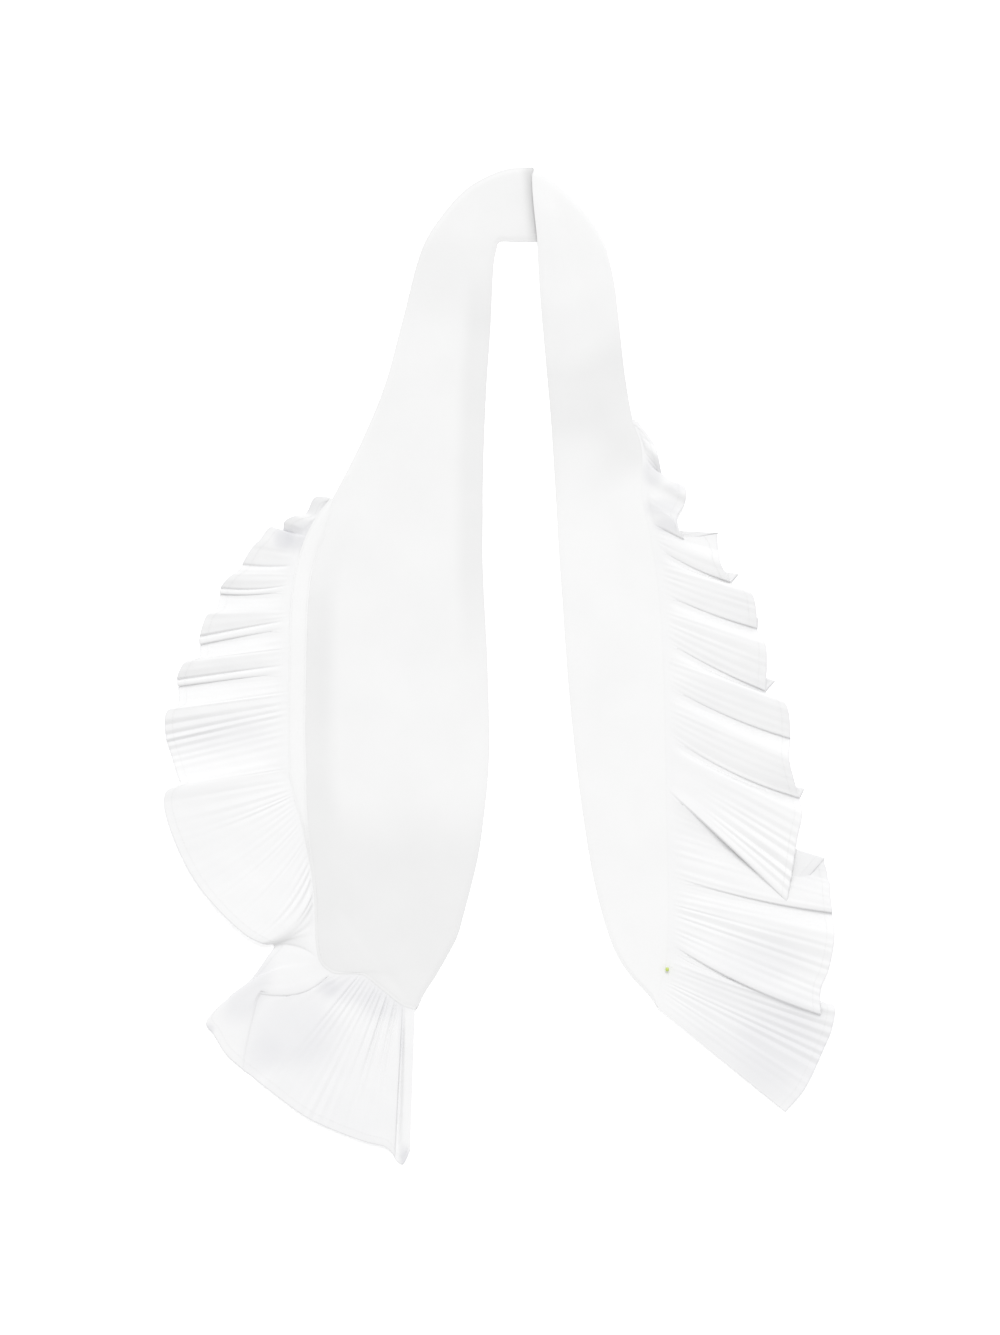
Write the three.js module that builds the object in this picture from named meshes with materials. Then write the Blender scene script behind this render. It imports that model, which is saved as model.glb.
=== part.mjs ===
// A ruffled tie lying flat: one band of doubled cloth with a wide left wing, a neckband and a
// narrow right wing, folded over on a diagonal so that the right leg lies over the neckband.
// A pleated ruffle is sewn to the outer edge of each wing. Millimetres, +Z up, +Y toward the
// neckband, and the cloth rests on z = 0.

import * as THREE from "three";

// Cloth
const BODY_WALL = 1.6;          // the band, two layers of cloth pressed together
const RUFFLE_WALL = 1.0;        // one layer of pleated cloth
const BAND_WALL = 1.0;          // the strip over the gathers
const GAP = 0.5;                // air between two pieces, one above the other
const SEAM_GAP = 0.9;           // air between a wing's edge and its ruffle, under the band

// Heading bands, sewn over the edge of each wing
const BAND_ON_PANEL = 8;        // width lying over the wing
const BAND_ON_RUFFLE = 6;       // width lying over the flat top of the ruffle
const BAND_TAPER = 30;          // length over which a band runs out at its upper end

// Ruffles
const HEADING = 7;              // flat top of the ruffle, held by the band
const SWELL = 0.7;              // how early a flute stands up between its top and its hem
const TUCK_START = 0.3;         // share of the way down at which a fold starts to turn under
const LONG_TUCK = 14;           // a longer turn comes forward outside the fold's own hem
const TURN_RADIUS = 1.8;        // half the thickness of a folded edge at the hem
const FLOOR = 0.6;              // middle of the cloth where a flute comes down

// Band
const EDGE_HOLD = 15;           // an edge that is lifted stays level for this width
const EDGE_FADE = 34;           // and comes down to the wing's own height at this width

// Bead
const BEAD_RADIUS = 1.6;
const BEAD_AT = [133.6, -242];

// The band, from the lower tip of the left wing over the neck to the lower tip of the right one.
// Each section runs from the band's first edge (a) to its second edge (b). On the left wing the
// first edge carries the ruffle, and on the right wing the second edge does. lift is the height of
// the section's underside, liftA and liftB the extra height of its edges, and bow how far the
// section curves to its left.
const SECTION_COLUMNS = ["ax", "ay", "bx", "by", "lift", "liftA", "liftB", "bow"];
const LEFT_WING = [
  [-67, -274, -65, -271.5, 0, 0, 0, 0],
  [-78, -270, -63, -266, 0, 0, 0, 0],
  [-96, -256, -58, -257, 0, 0, 0, 0],
  [-110, -246, -52, -248, 0, 0, 0, 0],
  [-134, -244, -40, -227, 0, 0.5, 0, 0],
  [-143, -236, -34, -215, 0, 1, 0, 0],
  [-146, -223, -30, -201, 0, 1.5, 0, 0],
  [-148, -179, -18, -153, 0, 2, 0, 0],
  [-154, -139, -13, -119, 0, 2.5, 0, 0],
  [-162, -91, -9, -75, 0, 2.5, 0, 0],
  [-163, -11, -10, -3, 0, 2.5, 0, 0],
  [-158, 76, -14, 81, 0, 1.5, 0, 0],
  [-142, 119, -14, 125, 0, 0.5, 0, 0],
  [-134, 134, -14, 141, 0, 0, 0, 0],
];
const NECK = [
  [-112, 177, -13, 181, 0, 0, 0, 0],
  [-92, 225, -11, 225, 0, 0, 0, 0],
  [-78, 276, -8, 269, 0, 0, 0, 0],
  [-61, 337, -5, 324, 0, 0, 0, 0],
  [-46, 361, -3, 334, 0, 0, 0, 0],
  [-28, 381, -2, 338, 0, 0, 0, 0],
  [-12, 391, 0, 340, 0, 0, 0, 0],
  [3, 397, 10, 340, 0, 0, 0, 0],
  [15, 399, 50, 340, 0, 0, 0, 2],
  [21, 399, 70, 339.5, 0, 0, 0, 6],
  [25.3, 399, 78.5, 338, 0.3, 0, 0, 7],
  [29.5, 397.5, 84.5, 335, 2.05, 0, 0, 7.5],
  [28.3, 392.5, 86, 329.5, 3.8, 0, 0, 7],
  [27, 385, 87.5, 324, 4, 0.4, 0, 5.5],
  [26.5, 368, 89.5, 315, 3.6, 1.6, 0, 2],
  [29, 341, 92, 301, 2.9, 2, 0, 0],
  [32, 301, 94.5, 279, 1.8, 0.8, 0, 0],
  [37.5, 237, 100, 231, 0.3, 0, 0.5, 0],
];
const RIGHT_WING = [
  [41, 197, 106, 197, 0, 0, 1.5, 0],
  [42.5, 173, 113, 176, 0, 0, 1.4, 0],
  [45, 133, 114, 133, 0, 0, 1.4, 0],
  [46.5, 105, 120, 107, 0, 0, 1.4, 0],
  [50, 53, 128, 53, 0, 0, 1.4, 0],
  [56, -27, 132, -27, 0, 0, 1.4, 0],
  [66, -115, 133.5, -111, 0, 0, 1.4, 0],
  [78, -183, 135, -199, 0, 0, 1.4, 0],
  [92, -227, 133.5, -233, 0, 0, 1.4, 0],
  [103, -245, 131, -246, 0, 0, 1.4, 0],
  [120, -263.5, 126.5, -263.5, 0, 0, 1.4, 0],
  [124.5, -270, 126.5, -273, 0, 0, 1.4, 0],
];
const SECTIONS = [...LEFT_WING, ...NECK, ...RIGHT_WING].map((row) => named(SECTION_COLUMNS, row));
const LEFT_SEAM_ROWS = [LEFT_WING.length - 1, 0];
const RIGHT_SEAM_ROWS = [LEFT_WING.length + NECK.length, SECTIONS.length - 1];

// The folds of each ruffle, from the top of its seam down. seam is the distance along the seam at
// which the fold's line starts, x and y are where it ends at the hem, and height is how high it
// stands there. bow is how far the line sags toward the next fold. Where tuckX or tuckY isn't zero,
// the cloth turns under at this line, runs back by that much, and comes forward again on the floor.
const FOLD_COLUMNS = ["seam", "x", "y", "height", "bow", "tuckX", "tuckY"];
const LEFT_FOLDS = [
  [0, -139, 136, 2, 0, 0, 0],
  [8, -148, 135, 6, 0, 0, 0],
  [19, -157, 120, 2, 0, 0, 0],
  [27, -167, 120, 9, 0, 0, 0],
  [36, -176, 101, 7, 0, -5, 9],
  [48, -198, 95, 11, 0, 0, 0],
  [60, -207, 80, 4, 2, 0, 0],
  [64, -210, 76, 8, 0, 0, 0],
  [68, -217, 71, 11, 0, 0, 0],
  [77, -224, 58, 7, 2, 3, 8],
  [91, -227, 45.5, 14, 0, 0, 0],
  [96, -234, 41, 13, 0, 0, 0],
  [106, -240, 20, 7, 0, 4, 10],
  [121, -240, 8, 15, 0, 0, 0],
  [126, -252, 3, 14, 0, 0, 0],
  [142, -257.5, -16, 7, 0, 4, 10],
  [158, -257.5, -31, 16, 0, 0, 0],
  [164, -266, -36, 15, 0, 0, 0],
  [182, -267, -56, 5, 0, 0, 0],
  [195, -263, -70, 2, 0, 0, 0],
  [220, -255, -93, 21, 0, 0, 0],
  [227, -266, -99.5, 20, 0, 0, 0],
  [237, -268, -109, 18, 0, 0, 0],
  [255, -263, -130, 15, 0, 0, 0],
  [283, -246, -167, 13, 0, 0, 0],
  [312, -224, -195, 13, 0, 0, 0],
  [337, -202, -215, 13, 0, 0, 0],
  [358, -184, -222, 9, -3, -6, 9],
  [370, -190, -240, 3, 0, 0, 0],
  [374, -213, -262, 11, 0, 0, 0],
  [377, -234, -285, 12, 0, 0, 0],
  [381, -225, -296, 7, -9, -3, 9],
  [389, -221, -308, 3, 0, 0, 0],
  [393, -214, -316, 5, 0, 0, 0],
  [398, -203, -326, 1.5, 0, 0, 0],
  [405, -180, -341, 6, 0, 0, 0],
  [417, -146, -363, 8, 0, 0, 0],
  [431, -116, -376, 8, 0, 0, 0],
  [447, -85, -385, 7, 0, 0, 0],
  [455, -78, -397, 1.5, 0, 0, 0],
  [463, -72, -387, 5, 0, 0, 0],
];
const RIGHT_FOLDS = [
  [0, 110, 196, 2, 0, 0, 0],
  [10, 124, 176, 7, 0, 0, 0],
  [26, 129, 154, 2, 0, 0, 0],
  [38, 147, 144, 10, 0, 0, 0],
  [46, 148.5, 135, 8, 0, 0, 0],
  [58, 143, 122, 10, 0, 0, 0],
  [72, 147, 102, 8, 2, 27, 3],
  [86, 174, 93, 2, 0, 0, 0],
  [93, 176, 83, 7, 0, 0, 0],
  [100, 184, 68, 6, 4, 6, 7],
  [118, 201, 58, 10, 0, 0, 0],
  [139, 205.5, 31, 6, 4, 1, 9],
  [155, 212, 17, 11, 0, 0, 0],
  [177, 212, -19, 6, 4, 8, 9],
  [195, 228, -30, 11, 0, 0, 0],
  [213, 232, -57, 7, 6, -1, 11],
  [230, 230.5, -72, 12, 0, 0, 0],
  [253, 239, -104.5, 7, 8, 4, 8],
  [268, 241, -118, 12, 0, 0, 0],
  [280, 237, -138, 12, 0, 0, 0],
  [297, 229, -188, 10, 0, 31, 36],
  [327, 262, -170, 1.5, 0, 0, 0],
  [347, 264, -184, 3, 0, 0, 0],
  [367, 265.5, -196.5, 6, 6, -1, 8],
  [385, 267, -215, 14, 0, 0, 0],
  [400, 262, -243, 12, 0, 0, 0],
  [410, 256, -258, 11, 0, 0, 0],
  [421, 256, -278, 7, 6, 9, 9],
  [436, 266, -284, 11, 0, 0, 0],
  [448, 260, -303, 3, 0, 0, 0],
  [460, 243, -338, 6, 0, 0, 0],
  [474, 228, -356, 3, 0, 0, 0],
];
const TUCK_SPREAD = 7;          // length of seam that one turned fold takes up

// How finely the shapes are cut into flat faces
const BODY_STEPS = 2;           // steps between two sections of the band
const BODY_ACROSS = [0, 0.1, 0.22, 0.5, 0.78, 0.9, 1];
const RUFFLE_DOWN = [0, 0.15, TUCK_START, 0.5, 0.75, 1];
const RUFFLE_STEP = 11;         // longest step along the hem
const BAND_STEP = 12;           // longest step along a seam

function named(columns, row) {
  return Object.fromEntries(columns.map((column, i) => [column, row[i]]));
}

// A smooth value from 0 to 1 with level ends.
function ease(t) {
  const u = Math.min(1, Math.max(0, t));
  return u * u * (3 - 2 * u);
}

// A smooth curve through rows of points, read at a row number that may lie between two rows.
function rowCurve(points) {
  const curve = new THREE.CatmullRomCurve3(points, false, "centripetal");
  return (row) => curve.getPoint(row / (points.length - 1));
}

const edgeA = rowCurve(SECTIONS.map((s) => new THREE.Vector3(s.ax, s.ay, 0)));
const edgeB = rowCurve(SECTIONS.map((s) => new THREE.Vector3(s.bx, s.by, 0)));
const lifts = rowCurve(SECTIONS.map((s) => new THREE.Vector3(s.lift, s.liftA, s.liftB)));
const bows = rowCurve(SECTIONS.map((s) => new THREE.Vector3(s.bow, 0, 0)));

// A point on the band's middle surface, at a section number and a share of the way from a to b.
function bandPoint(row, share) {
  const a = edgeA(row);
  const b = edgeB(row);
  const lift = lifts(row);
  const width = a.distanceTo(b);
  const left = new THREE.Vector3(a.y - b.y, b.x - a.x, 0).normalize();
  const edgeLift = (distance) => ease((EDGE_FADE - distance) / (EDGE_FADE - EDGE_HOLD));
  const point = a.lerp(b, share).addScaledVector(left, bows(row).x * 4 * share * (1 - share));
  point.z = BODY_WALL / 2 + Math.max(0, lift.x)
    + Math.max(0, lift.y) * edgeLift(share * width)
    + Math.max(0, lift.z) * edgeLift((1 - share) * width);
  return point;
}

// A seam runs along one edge of the band between two sections. share is 0 for edge a and 1 for b.
// at(distance) gives the point on the edge, the direction away from the band, and how far into
// the band a given width reaches.
function makeSeam(rows, share) {
  const [from, to] = rows;
  const samples = 400;
  const table = [];
  let length = 0;
  for (let i = 0; i <= samples; i += 1) {
    const row = from + (to - from) * i / samples;
    const point = bandPoint(row, share).setZ(0);
    if (i > 0) length += point.distanceTo(table[i - 1].point);
    table.push({ row, point, length });
  }
  const rowAt = (distance) => {
    const wanted = Math.min(length, Math.max(0, distance));
    const i = Math.max(1, table.findIndex((entry) => entry.length >= wanted));
    const part = (wanted - table[i - 1].length) / (table[i].length - table[i - 1].length);
    return table[i - 1].row + part * (table[i].row - table[i - 1].row);
  };
  const at = (distance) => {
    const row = rowAt(distance);
    const edge = bandPoint(row, share);
    const far = bandPoint(row, 1 - share);
    const before = bandPoint(rowAt(distance - 1), share);
    const after = bandPoint(rowAt(distance + 1), share);
    const out = new THREE.Vector3(after.y - before.y, before.x - after.x, 0).normalize();
    if (out.dot(new THREE.Vector3().subVectors(edge, far)) < 0) out.negate();
    return { edge, out };
  };
  return { length, at };
}

const leftSeam = makeSeam(LEFT_SEAM_ROWS, 0);
const rightSeam = makeSeam(RIGHT_SEAM_ROWS, 1);

// A closed wall round a grid of points on its middle surface: each point is moved half the wall to
// both sides along the surface's normal, and a rim joins the two faces.
function wall(grid, thickness) {
  const rows = grid.length;
  const columns = grid[0].length;
  const normal = (i, j) => {
    const along = new THREE.Vector3().subVectors(
      grid[Math.min(i + 1, rows - 1)][j], grid[Math.max(i - 1, 0)][j]);
    const across = new THREE.Vector3().subVectors(
      grid[i][Math.min(j + 1, columns - 1)], grid[i][Math.max(j - 1, 0)]);
    return along.cross(across).normalize();
  };
  const positions = [];
  for (const side of [0.5, -0.5]) {
    for (let i = 0; i < rows; i += 1) {
      for (let j = 0; j < columns; j += 1) {
        const point = grid[i][j].clone().addScaledVector(normal(i, j), side * thickness);
        positions.push(point.x, point.y, point.z);
      }
    }
  }
  const top = (i, j) => i * columns + j;
  const bottom = (i, j) => rows * columns + top(i, j);
  const faces = [];
  const quad = (a, b, c, d) => faces.push(a, b, c, a, c, d);
  for (let i = 0; i < rows - 1; i += 1) {
    for (let j = 0; j < columns - 1; j += 1) {
      quad(top(i, j), top(i + 1, j), top(i + 1, j + 1), top(i, j + 1));
      quad(bottom(i, j), bottom(i, j + 1), bottom(i + 1, j + 1), bottom(i + 1, j));
    }
  }
  for (let i = 0; i < rows - 1; i += 1) {
    quad(top(i, 0), bottom(i, 0), bottom(i + 1, 0), top(i + 1, 0));
    const end = columns - 1;
    quad(top(i + 1, end), bottom(i + 1, end), bottom(i, end), top(i, end));
  }
  for (let j = 0; j < columns - 1; j += 1) {
    quad(top(0, j + 1), bottom(0, j + 1), bottom(0, j), top(0, j));
    const end = rows - 1;
    quad(top(end, j), bottom(end, j), bottom(end, j + 1), top(end, j + 1));
  }
  const geometry = new THREE.BufferGeometry();
  geometry.setAttribute("position", new THREE.Float32BufferAttribute(positions, 3));
  geometry.setIndex(faces);
  geometry.computeVertexNormals();
  return geometry;
}

// The band as one wall, section by section.
function bodyGeometry() {
  const grid = [];
  const steps = (SECTIONS.length - 1) * BODY_STEPS;
  for (let i = 0; i <= steps; i += 1) {
    grid.push(BODY_ACROSS.map((share) => bandPoint(i / BODY_STEPS, share)));
  }
  return wall(grid, BODY_WALL);
}

// The lines of a ruffle: each fold gives one line, and a turned fold gives the lines of its two
// folded edges as well. base is where the line would end if nothing were turned under, and tuck is
// how far the turn moves it from there.
function ruffleLines(folds) {
  const lines = [];
  folds.map((row) => named(FOLD_COLUMNS, row)).forEach((fold, i, all) => {
    const end = new THREE.Vector3(fold.x, fold.y, 0);
    const tuck = new THREE.Vector3(fold.tuckX, fold.tuckY, 0);
    const push = (seam, base, offset, height, bow) => lines.push({
      seam: new THREE.Vector3(seam, bow, height), base, offset });
    const none = new THREE.Vector3();
    if (tuck.length() === 0) {
      push(fold.seam, end, none, fold.height, fold.bow);
      return;
    }
    const before = new THREE.Vector3(all[i - 1].x, all[i - 1].y, 0);
    const travel = new THREE.Vector3().subVectors(end, before).normalize();
    const back = tuck.clone().normalize();
    const step = TUCK_SPREAD / 7;
    const shift = (distance) => end.clone().addScaledVector(travel, distance);
    const under = FLOOR + 2 * TURN_RADIUS;
    push(fold.seam - step, shift(-TURN_RADIUS), none, fold.height, fold.bow);
    push(fold.seam, shift(0), none, (fold.height + under) / 2, fold.bow);
    push(fold.seam + step, shift(0.5), back.clone().multiplyScalar(TURN_RADIUS), under, fold.bow);
    const turned = tuck.clone().addScaledVector(back, -TURN_RADIUS);
    push(fold.seam + 3 * step, shift(1), turned, FLOOR + 1.9 * TURN_RADIUS, fold.bow);
    push(fold.seam + 3.5 * step, shift(1.2), tuck, FLOOR + TURN_RADIUS, fold.bow);
    push(fold.seam + 4 * step, shift(1.4), turned, FLOOR, fold.bow);
    if (tuck.length() < LONG_TUCK) push(fold.seam + 6 * step, shift(2), none, FLOOR, fold.bow);
  });
  return lines;
}

// A ruffle as one wall. A line leaves the seam flat under its band, then runs straight to the hem
// seen from above, while a turned fold opens out with the square of the way, and its height grows
// faster near the band than near the hem.
function ruffleGeometry(seam, folds, edgeHeight, side) {
  const lines = ruffleLines(folds);
  const seamCurve = rowCurve(lines.map((line) => line.seam));
  const baseCurve = rowCurve(lines.map((line) => line.base));
  const offsetCurve = rowCurve(lines.map((line) => line.offset));
  const grid = [];
  const addLine = (row) => {
    const { x: distance, y: bow, z: height } = seamCurve(row);
    const base = baseCurve(row);
    const offset = offsetCurve(row);
    const { edge, out } = seam.at(distance);
    const start = edge.clone().addScaledVector(out, SEAM_GAP);
    start.z = edge.z + edgeHeight;
    const run = new THREE.Vector3().subVectors(base, start).setZ(0);
    const reach = run.length();
    const heading = Math.min(HEADING, 0.35 * reach) / reach;
    const sag = new THREE.Vector3(-run.y, run.x, 0).normalize().multiplyScalar(side * bow);
    grid.push([0, ...RUFFLE_DOWN].map((open, k) => {
      const t = k === 0 ? 0 : heading + (1 - heading) * open;
      const turned = Math.max(0, open - TUCK_START) / (1 - TUCK_START);
      const point = start.clone().addScaledVector(run, t);
      point.addScaledVector(offset, turned).addScaledVector(sag, 4 * open * (1 - open));
      point.z = start.z + (Math.max(height, FLOOR) - start.z) * Math.pow(open, SWELL);
      return point;
    }));
  };
  addLine(0);
  for (let i = 1; i < lines.length; i += 1) {
    const ends = [i - 1, i].map((row) => baseCurve(row).add(offsetCurve(row)));
    const steps = Math.max(1, Math.round(ends[0].distanceTo(ends[1]) / RUFFLE_STEP));
    for (let k = 1; k <= steps; k += 1) addLine(i - 1 + k / steps);
  }
  return wall(grid, RUFFLE_WALL);
}

// A heading band as one wall along a seam, at a height over the band's middle surface at its edge.
function bandGeometry(seam, heightAt) {
  const grid = [];
  const steps = Math.ceil(seam.length / BAND_STEP);
  for (let i = 0; i <= steps; i += 1) {
    const distance = seam.length * i / steps;
    const width = 0.3 + 0.7 * ease(distance / BAND_TAPER);
    const { edge, out } = seam.at(distance);
    grid.push([-BAND_ON_PANEL * width, 0, BAND_ON_RUFFLE * width].map((reach) => {
      const point = edge.clone().addScaledVector(out, reach);
      point.z = heightAt(edge);
      return point;
    }));
  }
  return wall(grid, BAND_WALL);
}

function beadGeometry() {
  return new THREE.SphereGeometry(BEAD_RADIUS, 12, 8).rotateX(Math.PI / 2);
}

function piece(name, geometry, color, roughness) {
  const material = new THREE.MeshStandardMaterial({ color, roughness, metalness: 0 });
  const mesh = new THREE.Mesh(geometry, material);
  mesh.name = name;
  return mesh;
}

const POPLIN = 0xf6f6f8;
const BEAD_GREEN = 0xc8d67c;

const overBand = BODY_WALL / 2 + GAP + BAND_WALL / 2;
const levelTops = (BODY_WALL - RUFFLE_WALL) / 2;
const levelFeet = -levelTops;

const tie = new THREE.Group();
tie.add(piece("tie_body", bodyGeometry(), POPLIN, 0.9));
tie.add(piece("left_ruffle", ruffleGeometry(leftSeam, LEFT_FOLDS, levelTops, 1), POPLIN, 0.9));
tie.add(piece("right_ruffle", ruffleGeometry(rightSeam, RIGHT_FOLDS, levelFeet, -1), POPLIN, 0.9));
tie.add(piece("left_heading_band", bandGeometry(leftSeam, (edge) => edge.z + overBand), POPLIN, 0.9));
tie.add(piece("right_heading_band", bandGeometry(rightSeam, () => BAND_WALL / 2), POPLIN, 0.9));
const bead = piece("corner_bead", beadGeometry(), BEAD_GREEN, 0.5);
const [beadX, beadY] = BEAD_AT;
bead.position.set(beadX, beadY, BODY_WALL + 1.4 + GAP + BEAD_RADIUS);
tie.add(bead);

// The origin is the middle of the tie, on the surface that it lies on.
const box = new THREE.Box3().setFromObject(tie, true);
const middle = box.getCenter(new THREE.Vector3());
tie.position.set(-middle.x, -middle.y, -box.min.z);

export default tie;
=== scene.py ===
import logging
import math
from dataclasses import dataclass, field
from enum import Enum
from typing import NamedTuple

import bpy
import numpy as np
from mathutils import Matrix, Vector


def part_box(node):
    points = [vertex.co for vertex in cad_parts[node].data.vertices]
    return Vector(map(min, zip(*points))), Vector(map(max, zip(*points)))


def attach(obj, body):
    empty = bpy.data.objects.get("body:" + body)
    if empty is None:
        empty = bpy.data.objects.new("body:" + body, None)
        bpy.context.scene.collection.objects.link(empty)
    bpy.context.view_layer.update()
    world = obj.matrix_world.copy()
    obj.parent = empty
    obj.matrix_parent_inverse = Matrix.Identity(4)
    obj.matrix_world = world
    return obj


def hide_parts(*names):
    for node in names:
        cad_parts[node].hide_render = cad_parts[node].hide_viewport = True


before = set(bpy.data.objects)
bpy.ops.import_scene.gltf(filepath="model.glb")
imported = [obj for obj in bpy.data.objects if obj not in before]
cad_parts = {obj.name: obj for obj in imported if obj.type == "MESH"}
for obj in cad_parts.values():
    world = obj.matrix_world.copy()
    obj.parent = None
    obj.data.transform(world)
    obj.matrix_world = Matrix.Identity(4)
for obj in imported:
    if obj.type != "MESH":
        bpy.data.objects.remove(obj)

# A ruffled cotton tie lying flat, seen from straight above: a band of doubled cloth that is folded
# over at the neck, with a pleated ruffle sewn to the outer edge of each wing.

LOG = logging.getLogger("ruffled_tie")
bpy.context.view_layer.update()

# Sizes, in millimetres. The tables use a drawing whose origin lies a little off the middle of the
# finished tie, so finished points are moved by DRAWING_SHIFT.
MM = 0.001
BODY_WALL = 1.6
BAND_ON_PANEL = 8.0     # width of a heading band over the wing
BAND_ON_RUFFLE = 6.0    # and over the ruffle
BAND_WALL = 0.8
EDGE_HOLD = 15.0        # an edge of the tie that is lifted stays level for this width
EDGE_FADE = 34.0        # and has come down at this one
BEAD_RADIUS = 1.6
BEAD_AT = (133.6, -242.0)
CLOTH = 0.45            # one layer of poplin
FLOOR = 0.35            # middle of the cloth where it lies on the table
HEM = 6.8               # depth of the narrow hem
SEAM_TOP = 0.6          # upper side of the band's sewn edges, above their middle
SEAM_LAP = 0.5          # how far a ruffle's edge is caught inside the band's edge
SEAM_INSET = 0.02       # how far its upper side starts below the band's
RIM_ROUND = 0.8         # how far a rim stands out, as a share of half the thickness
SHADE_EDGE = 0.85       # share of a shade's size at which it is half as grey

# How a ruffle's lines run from the seam to the hem
SWELL = 0.7             # power with which the height changes on the way
BELLY_SHAPE = 0.7       # power that broadens what stands above that height
TUCK_BEGIN = 0.06       # share of the way down at which a folded flute starts to turn under
TUCK_SHAPE = 0.65       # power with which the turned cloth widens from there
LONG_SHAPE = 1.25       # the same for a turn that is at least as long as LONG_TUCK
LONG_TUCK = 14.0
TURN_RADIUS = 0.55
KINK_AT = 0.47          # share of the way down at which a kinked fold line bends
KINK_RISE = 2.5         # powers with which its sag grows up to the bend and goes after it
KINK_FALL = 0.85

# Knife pleats: the hem length and the seam length that each make one more, how near their wave is
# to a sharp triangle, and between what values their place, their depth and their end are drawn
HEM_PITCH = 12.0
SEAM_PITCH = 13.0
PLEAT_SHARPNESS = 0.94
PLEAT_SHAKE = (-0.25, 0.25)
PLEAT_DEPTH = (0.25, 1.45)
PLEAT_END = (-0.15, 0.45)

# Shares of the way from the flat border to the hem: the width over which the gathers die away,
# and where the pleats begin to grow, and over what width
GATHER_FADE = 0.5
PLEAT_FROM = 0.2
PLEAT_FADE = 0.6

# Where the rows of a ruffle's grid lie: in its flat border, on the open cloth, and in its hem, as
# shares of the hem's depth from the edge
BORDER_ROWS = (0.0, 0.03, 0.5)
OPEN_ROWS = 21
OPEN_END = 1.06
HEM_ROWS = (0.98, 0.75, 0.4, 0.12, 0.0)

# How grey the band is painted in its different places, as shares of the way to the shade's colour:
# painted shade, apart from the even grey of the left wing and the painted highlight along a pressed
# line
GREY_LEFT = 0.09        # the whole left wing
GREY_OUTER = 0.30       # painted shade along its sewn edge, beside the heading band
GREY_INNER = 0.28       # and painted shade along its inner edge
GREY_LOW = 0.29         # painted shade on its lower end
GREY_LINE = 0.05        # a painted highlight, taken off along the pressed line across its lower corner
GREY_NAPE = 0.14        # painted shade on the neckband under the fold
GREY_CREASE = 0.68      # painted shadow in the crease of the fold
GREY_RIGHT = 0.38       # painted shade on the right wing's upper part

# Threads and stitches
THIN_THREAD = 0.3       # the lowest share of its height that a thread's slubs leave it
SLUB_SCALE = 0.35       # slubs for each thread
STITCH_SHARE = 0.68     # share of the pitch that a stitch covers


def ease(t: np.ndarray | float) -> np.ndarray:
    """Smooth value from 0 to 1 with level ends: three times t squared less twice t cubed."""
    u = np.clip(t, 0.0, 1.0)
    return u * u * (3.0 - 2.0 * u)


def fade(value: np.ndarray, none: float, full: float) -> np.ndarray:
    """Smooth share of the way from none, where it is 0, to full, where it is 1."""
    return ease((value - none) / (full - none))


class Section(NamedTuple):
    """One section across the band, from edge a to edge b.

    lift is how high it lies, lift_a and lift_b are what its edges have more, and bow is how far it
    curves to its left.
    """

    ax: float
    ay: float
    bx: float
    by: float
    lift: float = 0.0
    lift_a: float = 0.0
    lift_b: float = 0.0
    bow: float = 0.0


class Fold(NamedTuple):
    """One fold line of a ruffle, from its place on the seam to its place at the hem.

    gather and pleat are the depths of the fine pleats near the seam and at the hem. bow is how far
    the line sags, and belly how far its middle stands above its usual height. kink is 0 where the
    line sags evenly, and 1 where it runs nearly straight to a corner and on from there. tuck_x and
    tuck_y say how far the cloth runs back under itself at the hem.
    """

    seam: float
    x: float
    y: float
    height: float
    gather: float = 0.1
    pleat: float = 0.1
    bow: float = 0.0
    belly: float = 0.0
    kink: float = 0.0
    tuck_x: float = 0.0
    tuck_y: float = 0.0

    @property
    def end(self) -> np.ndarray:
        """The line's place at the hem."""
        return np.array([self.x, self.y])


class Shade(NamedTuple):
    """A patch of painted shade on the cloth: its middle, its half sizes and its strength.

    turn is its turn to the left, in degrees, and soft is how far its edge fades, as a share of
    its size.
    """

    x: float
    y: float
    half_x: float
    half_y: float
    strength: float
    turn: float = 0.0
    soft: float = 0.9

    def at(self, points: np.ndarray) -> np.ndarray:
        """How grey it makes places of the drawing.

        Args:
            points: the places, with x and y first along the last axis.

        Returns:
            Values from 0 to its strength.
        """
        turn = math.radians(self.turn)
        x, y = points[..., 0] - self.x, points[..., 1] - self.y
        right = x * math.cos(turn) + y * math.sin(turn)
        up = y * math.cos(turn) - x * math.sin(turn)
        far = np.hypot(right / self.half_x, up / self.half_y)
        return self.strength * ease((SHADE_EDGE + self.soft / 2 - far) / self.soft)


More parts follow.
